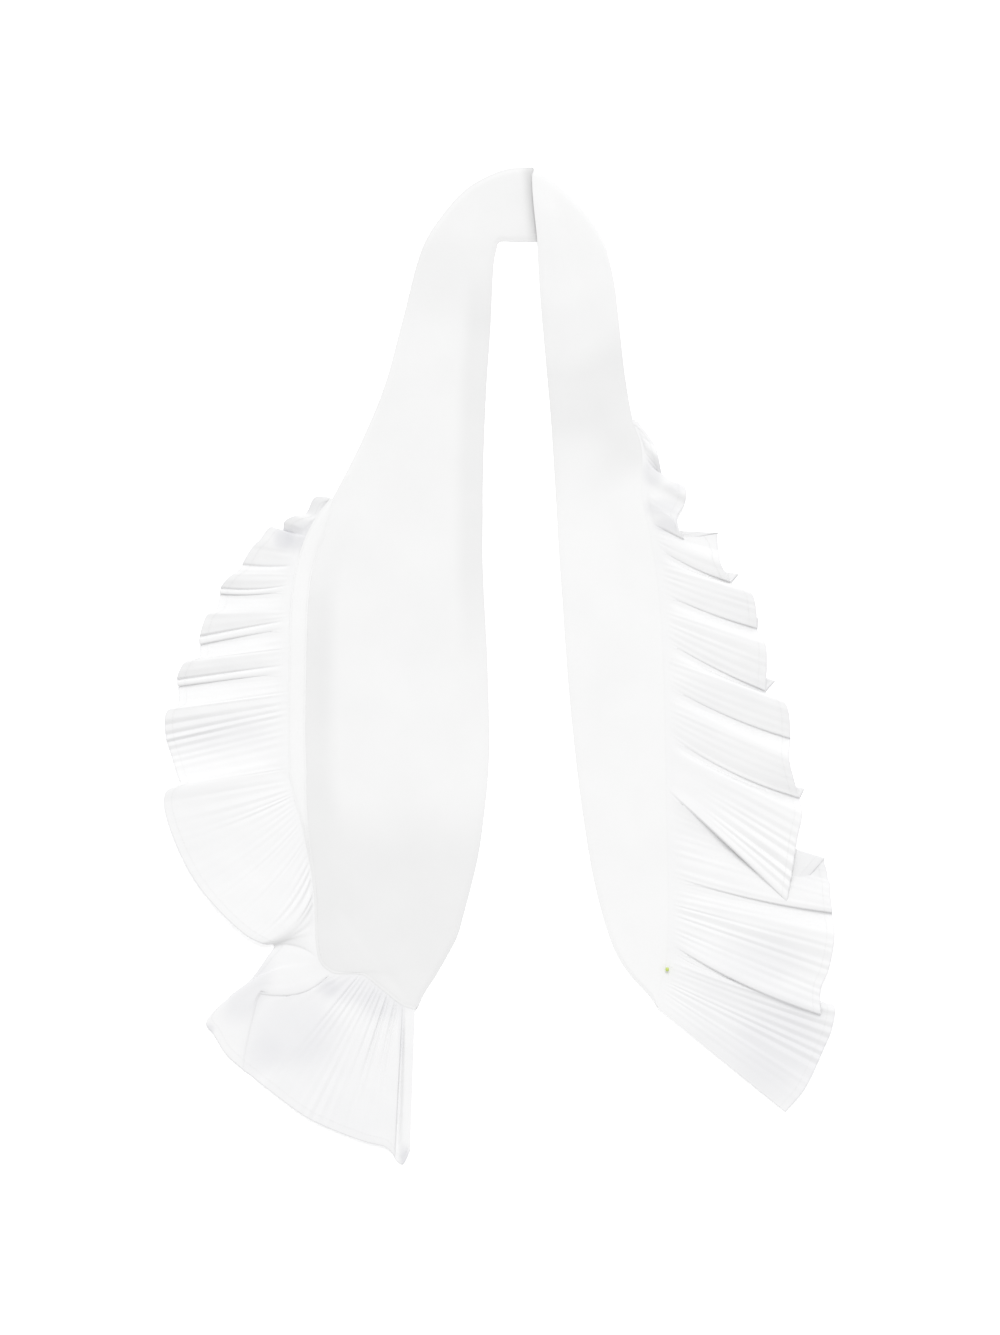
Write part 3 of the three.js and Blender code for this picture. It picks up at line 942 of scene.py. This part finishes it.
@dataclass(frozen=True)
class BeadFinish:
    """Glossy yellow-green glass, a little uneven in colour."""

    name: str = "bead_glass"
    light: tuple[float, float, float] = (0.62, 0.74, 0.17)
    deep: tuple[float, float, float] = (0.30, 0.40, 0.05)

    def build(self) -> bpy.types.Material:
        """Makes the material.

        Returns:
            The new material.
        """
        material, n = new_material(self.name)
        colour = n.effect(
            Effect.TONE,
            {
                "Place": n.add("ShaderNodeTexCoord").outputs["Object"],
                "Size": 900.0,
                "Amount": 0.6,
                "White": (*self.light, 1.0),
                "Shade": (*self.deep, 1.0),
            },
        )
        n.surface(
            {"Base Color": colour, "Roughness": 0.18, "Coat Weight": 0.5, "Coat Roughness": 0.1}
        )
        return material


@dataclass(frozen=True)
class TableFinish:
    """Plain white table top, lit a little from below as a light table is."""

    name: str = "table_white"
    white: tuple[float, float, float] = (0.97, 0.97, 0.97)
    glow: float = 0.25

    def build(self) -> bpy.types.Material:
        """Makes the material.

        Returns:
            The new material.
        """
        material, n = new_material(self.name)
        n.surface(
            {
                "Base Color": (*self.white, 1.0),
                "Roughness": 1.0,
                "Specular IOR Level": 0.0,
                "Emission Color": (1.0, 1.0, 1.0, 1.0),
                "Emission Strength": self.glow,
            }
        )
        return material


def dress(
    piece: bpy.types.Object, finish: bpy.types.Material, node: str
) -> bpy.types.Object:
    """Gives a piece its material, puts it in place of a CAD node and lets it ride on the tie.

    Args:
        piece: the piece.
        finish: its material.
        node: the CAD node that it stands for.

    Returns:
        The piece.
    """
    piece.data.materials.append(finish)
    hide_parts(node)
    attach(piece, "root")
    return piece


@dataclass(frozen=True)
class Cut:
    """The flat piece of cloth that a part is cut from: its sizes and area in metres, and its fixing."""

    width: float
    length: float
    area: float
    held: str

    def sew(self, node: str, grid: ClothGrid, finish: bpy.types.Material) -> bpy.types.Object:
        """Args:
            node: the CAD node that it stands for.
            grid: its surface.
            finish: its material.

        Returns:
            The piece.
        """
        piece = dress(grid.close(node + "_cloth"), finish, node)
        return piece


@dataclass(frozen=True)
class Wall:
    """A wall of cloth: its thickness, the thickness at its edges, and the width of their rounding."""

    full: float
    edge: float
    roll: float

    def half(self, rim: np.ndarray) -> np.ndarray:
        """Half the thickness at distances from the edge."""
        return (self.edge + (self.full - self.edge) * fade(rim, 0, self.roll)) / 2


@dataclass
class TieBody:
    """The band of doubled cloth: the wide left wing, the neckband and the narrow right wing.

    dent is how unevenly the wings lie, steps is how many sections the finished surface has, and
    across how many points each section. row_step is what each row of the table adds to the way.
    """

    wall: Wall = Wall(BODY_WALL, edge=0.6, roll=4.5)
    dent: float = 0.5
    steps: int = 860
    across: int = 42
    samples: int = 12001
    row_step: float = 2.0
    cut: Cut = Cut(width=0.16, length=1.36, area=0.118, held="folded")
    sections: list[Section] = field(default_factory=lambda: [*LEFT_WING, *NECK, *RIGHT_WING])

    def __post_init__(self) -> None:
        """Reads the section table into smooth curves."""
        parts = np.split(np.array(self.sections, float), (2, 4, 7), axis=1)
        self.edge_a, self.edge_b, self.lifts, self.bows = map(RowCurve, parts)

    def points(self, rows: np.ndarray, shares: np.ndarray) -> np.ndarray:
        """Points of the middle surface.

        Formula: straight from edge a to edge b, bent to the left by the bow as a parabola. The
        height is half the wall, plus the section's lift, plus each edge's lift, which holds for a
        width and then eases out.

        Args:
            rows: section numbers, (n,).
            shares: shares of the way from a to b, (m,) or (n, m).

        Returns:
            The points, (n, m, 3).
        """
        a, b = self.edge_a.at(rows), self.edge_b.at(rows)
        lift, lift_a, lift_b = np.maximum(self.lifts.at(rows), 0.0).T[..., None]
        width = np.linalg.norm(b - a, axis=1)[:, None]
        left = np.stack([a[:, 1] - b[:, 1], b[:, 0] - a[:, 0]], axis=1) / np.maximum(width, 1e-9)
        s = np.broadcast_to(shares, (len(rows), np.shape(shares)[-1]))
        flat = a[:, None] * (1 - s)[..., None] + b[:, None] * s[..., None]
        flat = flat + left[:, None] * (self.bows.at(rows) * 4 * s * (1 - s))[..., None]
        near_a = fade(s * width, EDGE_FADE, EDGE_HOLD)
        near_b = fade((1 - s) * width, EDGE_FADE, EDGE_HOLD)
        z = self.wall.full / 2 + lift + lift_a * near_a + lift_b * near_b
        return np.concatenate([flat, z[..., None]], axis=2)

    def tone(self, rows: np.ndarray, points: np.ndarray, shares: np.ndarray) -> np.ndarray:
        """Painted shade on the band: along its sewn and inner edges, low on the left wing, under the
        fold and in its crease, and on the right wing's upper part, with a painted highlight along a
        pressed line and an even grey over the left wing.

        Formula: each grey is multiplied by fades over the ranges of x and y, or over the distances
        from an edge or a line, that it covers in the drawing. They are added up to the fold row,
        and beyond it the right wing has its own, with uneven ends.

        Args:
            rows: section numbers, (n,).
            points: the middle surface, (n, m, 3).
            shares: shares of the way across, (m,).

        Returns:
            Values from 0 to 1, (n, m).
        """
        width = np.linalg.norm(points[:, -1, :2] - points[:, 0, :2], axis=1)[:, None]
        from_a, from_b = shares[None] * width, (1 - shares)[None] * width
        x, y = points[..., 0], points[..., 1]
        by_band = fade(from_a, 36, 20) * fade(y, 100, 40) * fade(y, -240, -200)
        inner = fade(from_b, 26, 12) * fade(y, 330, 270) * fade(y, -30, 90)
        low = fade(y, -95, -155)
        nape = fade(y, 360, 330) * fade(y, 250, 310)
        from_fold = x - (25 + (396 - y) * 0.1)
        crease = fade(from_fold, -10, -1) * fade(y, 330, 350)
        from_line = np.abs((x + 128) * 0.8 + (y + 199.6) * 0.6)
        pressed = fade(from_line, 6, 0) * fade(y, -190, -202)
        # Painted shade and a painted highlight, added up with the even grey of the left wing
        left = GREY_LEFT + (GREY_OUTER * by_band + GREY_INNER * inner) * (1 - low) + GREY_LOW * low
        left = left - GREY_LINE * pressed + GREY_NAPE * nape + GREY_CREASE * crease
        drift = 22 * ripples(points, length=70.0, seed=5)
        right = GREY_RIGHT * ease((305 + drift - y) / 80) * ease((y + drift - 125) / 80)
        return np.clip(np.where(rows[:, None] < FOLD_ROW, left, right), 0, 1)

    def build(self, finish: bpy.types.Material) -> bpy.types.Object:
        """Makes the band.

        Formula: the sections lie at equal steps of the way along both edges, to which each row of
        the table adds a little. The wings are dented by soft waves away from their edges, and a
        sewn edge has its upper side level with the ruffle's.

        Args:
            finish: its material.

        Returns:
            The band, dressed and on its body.
        """
        dense = np.linspace(0, len(self.sections) - 1, self.samples)
        edges = self.points(dense, np.array([0.0, 1.0]))
        travel = (along(edges[:, 0]) + along(edges[:, 1])) / 2 + dense * self.row_step
        rows = np.interp(np.linspace(0, travel[-1], self.steps), travel, dense)
        shares = spread(self.across)
        middle = self.points(rows, shares)
        width = np.linalg.norm(middle[:, -1] - middle[:, 0], axis=1)[:, None]
        rim = np.minimum(shares, 1 - shares)[None] * width
        neck = fade(rows, NECK_ROW - 1, NECK_ROW + 3) * fade(rows, RIGHT_ROW + 2, RIGHT_ROW - 2)
        calm = (1 - neck)[:, None] * fade(rim, 12, 42)
        middle[..., 2] += self.dent * (1 + ripples(middle, length=90.0, seed=3)) * calm
        half = self.wall.half(rim)
        sewn_a = (rows < NECK_ROW - 0.5)[:, None] & (shares < 0.5)[None]
        sewn_b = (rows > RIGHT_ROW - 0.5)[:, None] & (shares > 0.5)[None]
        full, edge = self.wall.full, self.wall.edge
        flat_top = (SEAM_TOP - edge / 2) / (full - edge) * 2
        middle[..., 2] += (full / 2 - half) * np.where(sewn_a | sewn_b, flat_top, -0.5)
        run = along(middle[:, self.across // 2])[:, None]
        tone = self.tone(rows, middle, shares)
        grid = ClothGrid(middle, half, run, shares[None] * width, rim, tone)
        return self.cut.sew("tie_body", grid, finish)


@dataclass
class Seam:
    """The line where a ruffle is sewn to one edge of the band, from its top to its end.

    first and last are section numbers, and share is 0 for edge a and 1 for edge b.
    """

    body: TieBody
    first: int
    last: int
    share: float
    samples: int = 4001

    def __post_init__(self) -> None:
        """Measures the line, seen from above."""
        self.rows = np.linspace(self.first, self.last, self.samples)
        self.travel = along(self.edge(self.rows)[:, :2])

    @property
    def length(self) -> float:
        """The line's length, in millimetres."""
        return float(self.travel[-1])

    def edge(self, rows: np.ndarray) -> np.ndarray:
        """Points on this edge of the band."""
        return self.body.points(rows, np.array([self.share]))[:, 0]

    def at(self, distance: np.ndarray) -> tuple[np.ndarray, np.ndarray]:
        """Points on the edge, and the level directions away from the band.

        Args:
            distance: distances along the seam.

        Returns:
            The points, (n, 3), and the directions, (n, 3).
        """
        row, before, after = (
            np.interp(distance + step, self.travel, self.rows) for step in (0.0, -1.0, 1.0)
        )
        edge = self.edge(row)
        far = self.body.points(row, np.array([1 - self.share]))[:, 0]
        step = self.edge(after) - self.edge(before)
        out = unit(np.stack([step[:, 1], -step[:, 0], np.zeros(len(row))], axis=1))
        inward = np.sum(out * (edge - far), axis=1, keepdims=True) < 0
        return edge, np.where(inward, -out, out)


@dataclass
class Ruffle:
    """A pleated ruffle: flutes that stand on the table, some folded over, with fine pleats.

    side is the sign of the sag of its lines, columns is how many columns of points its grid has
    along the hem, and calm gives the depth of its flat upper border at distances along the seam.
    border_most and hem_most are the most that border and hem take of a short column, hem_extra is
    how much thicker the hem is, and hem_step the width over which it gets so. uneven is the height
    of soft waves, and low_grey is the strength of the painted shade where the cloth lies low on the
    table.
    """

    node: str
    seam: Seam
    folds: list[Fold]
    side: float
    columns: int
    seed: int
    shades: list[Shade]
    calm: tuple[tuple[float, float], ...]
    cut: Cut
    samples: int = 40001
    border_most: float = 0.35
    hem_most: float = 0.3
    uneven: float = 0.2
    hem_extra: float = 0.35
    hem_step: float = 1.2
    low_grey: float = 0.06

    def lines(self) -> np.ndarray:
        """The fold lines, with the lines of both folded edges where the cloth is turned under.

        Returns:
            One row for each line: its seam distance, sag and height, the hem point before turning,
            the turn's offset at the hem, the pleats' gather and pleat depths, belly and kink, and
            the power with which the turn widens, which holds up to the line after it.
        """
        rows: list[tuple] = []
        none = np.zeros(2)
        power = TUCK_SHAPE
        for before, fold in zip([self.folds[0], *self.folds], self.folds):
            tuck = np.array([fold.tuck_x, fold.tuck_y])
            fine = (fold.gather, fold.pleat)
            shape = (fold.belly, fold.kink)
            if not tuck.any():
                rows.append(
                    (fold.seam, fold.bow, fold.height, *fold.end, *none, *fine, *shape, power)
                )
                power = TUCK_SHAPE
                continue
            long = np.linalg.norm(tuck) >= LONG_TUCK
            power = LONG_SHAPE if long else TUCK_SHAPE
            travel, back = unit(fold.end - before.end), unit(tuck)
            top = FLOOR + 2 * TURN_RADIUS
            turned = tuck - back * TURN_RADIUS
            # How far on along the seam and along the hem, the offset, and the height
            turns = [
                (-1, -TURN_RADIUS, none, fold.height),
                (0, 0, none, (fold.height + top) / 2),
                (1, 0.5, back * TURN_RADIUS, top),
                (3, 1, turned, FLOOR + 1.9 * TURN_RADIUS),
                (3.5, 1.2, tuck, FLOOR + TURN_RADIUS),
                (4, 1.4, turned, FLOOR),
            ]
            if not long:
                turns.append((6, 2, none, FLOOR))
            for on, shift, offset, height in turns:
                end = fold.end + travel * shift
                shown = fine if on < 0 else (0.0, 0.0)
                rows.append(
                    (fold.seam + on, fold.bow, height, *end, *offset, *shown, *shape, power)
                )
        return np.array(rows, float)

    def grid_rows(
        self, reach: np.ndarray, calm: np.ndarray
    ) -> tuple[np.ndarray, np.ndarray, np.ndarray]:
        """Where the grid's rows lie on the way from the seam to the hem.

        Args:
            reach: each column's length seen from above, (n, 1).
            calm: the depth of its flat border, (n, 1), of which a short column has less.

        Returns:
            The length below the border, (n, 1), the rows' shares of the whole length, (n, m), and
            their shares of the length below the border, (n, m).
        """
        head = np.minimum(calm, self.border_most * reach) / reach
        rest = reach * (1 - head)
        hem = np.minimum(HEM, self.hem_most * rest) / rest
        opened = np.concatenate(
            [
                np.linspace(0, 1, OPEN_ROWS)[None] * (1 - hem * OPEN_END),
                1 - hem * np.array(HEM_ROWS)[None],
            ],
            axis=1,
        )
        border = head * np.array(BORDER_ROWS)[None]
        t = np.concatenate([border, head + (1 - head) * opened], axis=1)
        return rest, t, np.concatenate([np.zeros_like(border), opened], axis=1)

    def pleats(self, number: np.ndarray, opened: np.ndarray, fine: np.ndarray) -> np.ndarray:
        """The fine pleats' height.

        Formula: a rounded triangle wave along the columns. Near the seam it has the gathers' depth,
        which dies away, and toward the hem the pleats' depth, which grows.

        Args:
            number: how many pleats come before each column, (n,).
            opened: the rows' shares of the way to the hem, (n, m).
            fine: each column's two depths, (n, 2).

        Returns:
            The heights, (n, m).
        """
        draw = np.random.default_rng(self.seed)
        knots = np.arange(int(number.max()) + 2)
        shake, lively, short = (
            np.interp(number, knots, draw.uniform(low, high, len(knots)))
            for low, high in (PLEAT_SHAKE, PLEAT_DEPTH, PLEAT_END)
        )
        swing = np.sin(2 * math.pi * (number + shake))
        wave = np.arcsin(PLEAT_SHARPNESS * swing) * 2 / math.pi
        gather, pleat = fine.T[..., None]
        gathered = 1 - ease((opened - short[:, None]) / GATHER_FADE)
        depth = gather * gathered + pleat * ease((opened - PLEAT_FROM) / PLEAT_FADE)
        return wave[:, None] * lively[:, None] * depth

    def surface(self) -> ClothGrid:
        """The ruffle's surface, column by column along the hem.

        Formula: a column leaves the seam flat under its band and then runs straight to the hem as
        seen from above, sagging as a parabola, or by two powers that meet at KINK_AT where it is
        kinked. A turned fold's offset grows from TUCK_BEGIN to the hem by its own power, and the
        height changes with the way to the power SWELL. On top of that the fine pleats move the
        surface along its normal. One more comes with each HEM_PITCH of hem and SEAM_PITCH of seam,
        and they rise from 0.7 of the flat border's depth to a little over 1.5 of it.

        Returns:
            The grid.
        """
        table = self.lines()
        seam_at, base_at, offset_at, fine_at, shape_at, power_at = (
            RowCurve(part).at for part in np.split(table, (3, 5, 7, 9, 11), axis=1)
        )
        dense = np.linspace(0, len(table) - 1, self.samples)
        hem_line = [base_at(dense) + offset_at(dense), seam_at(dense)[:, 2:]]
        travel = along(np.concatenate(hem_line, axis=1))
        hem_run = np.linspace(0, travel[-1], self.columns)
        rows = np.interp(hem_run, travel, dense)
        distance, bow, height = seam_at(rows).T
        edge, out = self.seam.at(distance)
        start = edge - out * SEAM_LAP
        start[:, 2] = edge[:, 2] + SEAM_TOP - SEAM_INSET - CLOTH / 2
        run = base_at(rows) - start[:, :2]
        reach = np.linalg.norm(run, axis=1)[:, None]
        calm = read(self.calm, distance)
        rest, t, opened = self.grid_rows(reach, calm)
        power = np.clip(power_at(rows), TUCK_SHAPE, LONG_SHAPE)
        turned = (np.maximum(0.0, opened - TUCK_BEGIN) / (1 - TUCK_BEGIN)) ** power
        belly, kink = shape_at(rows).T[..., None]
        kink = np.clip(kink, 0.0, 1.0)
        even = 4 * opened * (1 - opened)
        rising, falling = opened / KINK_AT, (1 - opened) / (1 - KINK_AT)
        sag = even * (1 - kink) + np.minimum(rising**KINK_RISE, falling**KINK_FALL) * kink
        sideways = unit(np.stack([-run[:, 1], run[:, 0]], axis=1)) * (self.side * bow)[:, None]
        flat = (
            start[:, None, :2]
            + run[:, None] * t[..., None]
            + offset_at(rows)[:, None] * turned[..., None]
            + sideways[:, None] * sag[..., None]
        )
        tall = np.maximum(height, FLOOR)[:, None] - start[:, 2:]
        z = start[:, 2:] + tall * opened**SWELL + belly * even**BELLY_SHAPE
        middle = np.concatenate([flat, z[..., None]], axis=2)
        below = t * reach
        number = hem_run / HEM_PITCH + distance / SEAM_PITCH
        rise = ease((below - calm * 0.7) / (calm * 0.8 + 2.0))
        pleats = self.pleats(number, opened, np.maximum(fine_at(rows), 0.0)) * rise
        middle = middle + grid_normals(middle) * pleats[..., None]
        waves = ripples(middle, length=22.0, seed=self.seed)
        middle[..., 2] += self.uneven * fade(below, 0, 8) * waves
        middle[..., 2] = np.maximum(middle[..., 2], FLOOR)
        rim = (1 - opened) * rest
        half = CLOTH / 2 * (1 + self.hem_extra * ease((HEM - rim) / self.hem_step + 0.5))
        # Painted shade: where the cloth lies low on the table, and in the shade patches
        tone = self.low_grey * fade(middle[..., 2], 4, 0)
        for shade in self.shades:
            tone = tone + shade.at(middle)
        return ClothGrid(middle, half, hem_run[:, None], below, rim, tone)

    def build(self, finish: bpy.types.Material) -> bpy.types.Object:
        """Makes the ruffle.

        Args:
            finish: its material.

        Returns:
            The ruffle, dressed and on its body.
        """
        grid = self.surface()
        hem, seam = float(grid.run[-1, 0]) * MM, self.seam.length * MM
        LOG.info("%s: hem %.3f m, seam %.3f m", self.node, hem, seam)
        return self.cut.sew(self.node, grid, finish)


@dataclass
class HeadingBand:
    """A narrow strip sewn along a seam, over or under the gathers of a ruffle.

    above is whether it lies over the band's edge, or flat on the table under it. widths gives its
    share of its full width at distances along the seam. step is the length and across the number
    of points of its grid, air is what lies between it and the band, uneven is the height of soft
    waves, and low_grey is the painted shade on an upper strip beyond 290 mm of seam.
    """

    node: str
    seam: Seam
    above: bool
    widths: tuple[tuple[float, float], ...]
    cut: Cut
    wall: Wall = Wall(BAND_WALL, edge=0.12, roll=5.0)
    step: float = 1.2
    across: int = 17
    air: float = 0.05
    uneven: float = 0.06
    low_grey: float = 0.3

    def build(self, finish: bpy.types.Material) -> bpy.types.Object:
        """Makes the strip.

        Formula: it follows the seam, its width comes from the table of widths, and it lies on the
        band's edge and on the ruffle's puffed border, thick in its middle and thin at its edges.

        Args:
            finish: its material.

        Returns:
            The strip, dressed and on its body.
        """
        distance = np.linspace(0, self.seam.length, int(self.seam.length / self.step))
        width = read(self.widths, distance)
        edge, out = self.seam.at(distance)
        share = spread(self.across)
        whole = BAND_ON_PANEL + BAND_ON_RUFFLE
        over = (whole * share - BAND_ON_PANEL)[None] * width
        middle = edge[:, None] + out[:, None] * over[..., None]
        rim = np.minimum(share, 1 - share)[None] * whole * width
        half = self.wall.half(rim)
        if self.above:
            under = SEAM_TOP + (BODY_WALL / 2 - SEAM_TOP) * fade(over, 0, -4.5)
            middle[..., 2] = edge[:, 2:] + under + self.air + half
        else:
            middle[..., 2] = BAND_WALL / 2
        middle[..., 2] += self.uneven * ripples(middle, length=15.0, seed=8)
        run = distance[:, None]
        # painted shade on the lower end of an upper strip
        tone = self.low_grey * fade(run, 250, 290) * self.above * np.ones_like(rim)
        return self.cut.sew(self.node, ClothGrid(middle, half, run, over, rim, tone), finish)


@dataclass
class CornerBead:
    """The small glass bead sewn to the corner of the right wing, with a hole along X."""

    radius: float = BEAD_RADIUS
    hole: float = 0.42
    flatness: float = 0.8
    rings: int = 40
    sides: int = 48

    def build(self, finish: bpy.types.Material) -> bpy.types.Object:
        """Makes the bead as a closed ring.

        Formula: a round profile, flattened a little toward the hole, is turned about the hole's
        axis, so both parameters run all the way round.

        Args:
            finish: its material.

        Returns:
            The bead, dressed and on its body.
        """
        u, v = np.meshgrid(
            *(np.linspace(0, 2 * math.pi, n, endpoint=False) for n in (self.rings, self.sides)),
            indexing="ij",
        )
        tube = (self.radius - self.hole) / 2
        ring = self.hole + tube + tube * np.cos(u)
        length = self.radius * self.flatness * np.sin(u)
        points = np.stack([length, ring * np.cos(v), ring * np.sin(v)], axis=-1)
        outward = [0, 3, 2, 1]
        piece = place_mesh(
            "corner_bead_glass",
            points.reshape(-1, 3) * MM + bead_centre(),
            ring_faces(self.rings, self.sides, True)[:, outward],
        )
        return dress(piece, finish, "corner_bead")


@dataclass
class Studio:
    """A white table under soft light, and a camera straight above it.

    pixel is what one pixel of the photo shows, in metres, and origin_row is how far down the
    photo the drawing's origin lies, in pixels. The lamp's angles are in degrees.
    """

    photo_size: tuple[int, int] = (1000, 1335)
    pixel: float = 0.8 * MM
    origin_row: float = 666.5
    camera_height: float = 4.0
    dome: float = 0.78
    lamp: float = 1.28
    lamp_angle: float = 30.0
    lamp_elevation: float = 55.0
    table_reach: float = 3.0
    table_top: float = -0.0002

    def table(self) -> bpy.types.Object:
        """Makes the table top, a level square under the tie.

        Returns:
            The table top.
        """
        corners = np.array([[-1, -1, 0], [1, -1, 0], [1, 1, 0], [-1, 1, 0]]) * self.table_reach
        corners[:, 2] = self.table_top
        piece = place_mesh("table_top", corners, np.array([[0, 1, 2, 3]]))
        piece.data.materials.append(TableFinish().build())
        return piece

    def light(self) -> None:
        """Lights the tie evenly from all round, and softly from the neckband's side."""
        world = bpy.data.worlds.new("studio_dome")
        bpy.context.scene.world = world
        world.use_nodes = True
        background = world.node_tree.nodes["Background"]
        background.inputs["Color"].default_value = (1.0, 1.0, 1.0, 1.0)
        background.inputs["Strength"].default_value = self.dome
        lamp = bpy.data.lights.new("studio_lamp", "SUN")
        lamp.energy = self.lamp
        lamp.angle = math.radians(self.lamp_angle)
        holder = bpy.data.objects.new("studio_lamp", lamp)
        up = math.radians(self.lamp_elevation)
        toward = Vector((0.0, math.cos(up), math.sin(up)))
        holder.rotation_euler = toward.to_track_quat("Z", "Y").to_euler()
        bpy.context.scene.collection.objects.link(holder)

    def camera(self) -> None:
        """Places the camera so that the tie fills the same part of the picture as in the photo."""
        height = self.photo_size[1]
        made = bpy.data.cameras.new("camera")
        made.sensor_fit = "VERTICAL"
        made.sensor_height = 24.0
        made.lens = made.sensor_height * self.camera_height / (height * self.pixel)
        made.clip_end = 50.0
        holder = bpy.data.objects.new("camera", made)
        middle = DRAWING_SHIFT[:2] * MM + np.array([0.0, (self.origin_row - height / 2) * self.pixel])
        holder.location = (*middle, self.camera_height)
        bpy.context.scene.collection.objects.link(holder)
        bpy.context.scene.camera = holder

    def colours(self) -> None:
        """Shows light as it is, without a film look."""
        view = bpy.context.scene.view_settings
        view.view_transform = "Standard"
        view.look = "None"
        view.exposure = 0.0
        view.gamma = 1.0

    def build(self) -> None:
        """Makes the table, the light and the camera."""
        self.table()
        self.light()
        self.camera()
        self.colours()


def main() -> None:
    """Builds the tie piece by piece, then the studio, and notes the sizes."""
    logging.basicConfig(level=logging.INFO, format="%(name)s: %(message)s")
    plain = PoplinFinish("poplin_band", wear=0.2).build()
    pleated = PoplinFinish(
        "poplin_ruffle",
        white=(0.87, 0.87, 0.869),
        # bluish grey of the painted shade in the folds, which the uneven tone and wear also mix toward
        shade=(0.70, 0.70, 0.722),
        stitch_lines=(HEM * MM - 0.0006,),
    ).build()
    strip = PoplinFinish(
        "poplin_strip", wear=0.1, stitch_lines=(0.0014,), thread=(0.87, 0.87, 0.87)
    ).build()
    body = TieBody()
    left_seam = Seam(body, first=NECK_ROW - 1, last=0, share=0.0)
    right_seam = Seam(body, first=RIGHT_ROW, last=len(body.sections) - 1, share=1.0)
    left = Ruffle(
        "left_ruffle",
        left_seam,
        LEFT_FOLDS,
        side=1.0,
        columns=1560,
        seed=11,
        shades=LEFT_SHADES,
        calm=LEFT_CALM,
        cut=Cut(width=0.115, length=0.87, area=0.066, held="gathered"),
    )
    right = Ruffle(
        "right_ruffle",
        right_seam,
        RIGHT_FOLDS,
        side=-1.0,
        columns=1640,
        seed=12,
        shades=RIGHT_SHADES,
        calm=RIGHT_CALM,
        cut=Cut(width=0.120, length=0.94, area=0.079, held="gathered"),
    )
    left_band = HeadingBand(
        "left_heading_band",
        left_seam,
        above=True,
        widths=LEFT_WIDTHS,
        cut=Cut(width=0.014, length=0.468, area=0.0043, held="laid"),
    )
    right_band = HeadingBand(
        "right_heading_band",
        right_seam,
        above=False,
        widths=RIGHT_WIDTHS,
        cut=Cut(width=0.0145, length=0.478, area=0.0064, held="laid"),
    )
    pieces = [
        body.build(plain),
        left.build(pleated),
        right.build(pleated),
        left_band.build(strip),
        right_band.build(strip),
        CornerBead().build(BeadFinish().build()),
    ]
    for piece in pieces:
        area = sum(face.area for face in piece.data.polygons) / 2
        LOG.info("%s: %d faces, %.4f m2", piece.name, len(piece.data.polygons), area)
    Studio().build()
    bpy.context.view_layer.update()


if __name__ == "__main__":
    main()
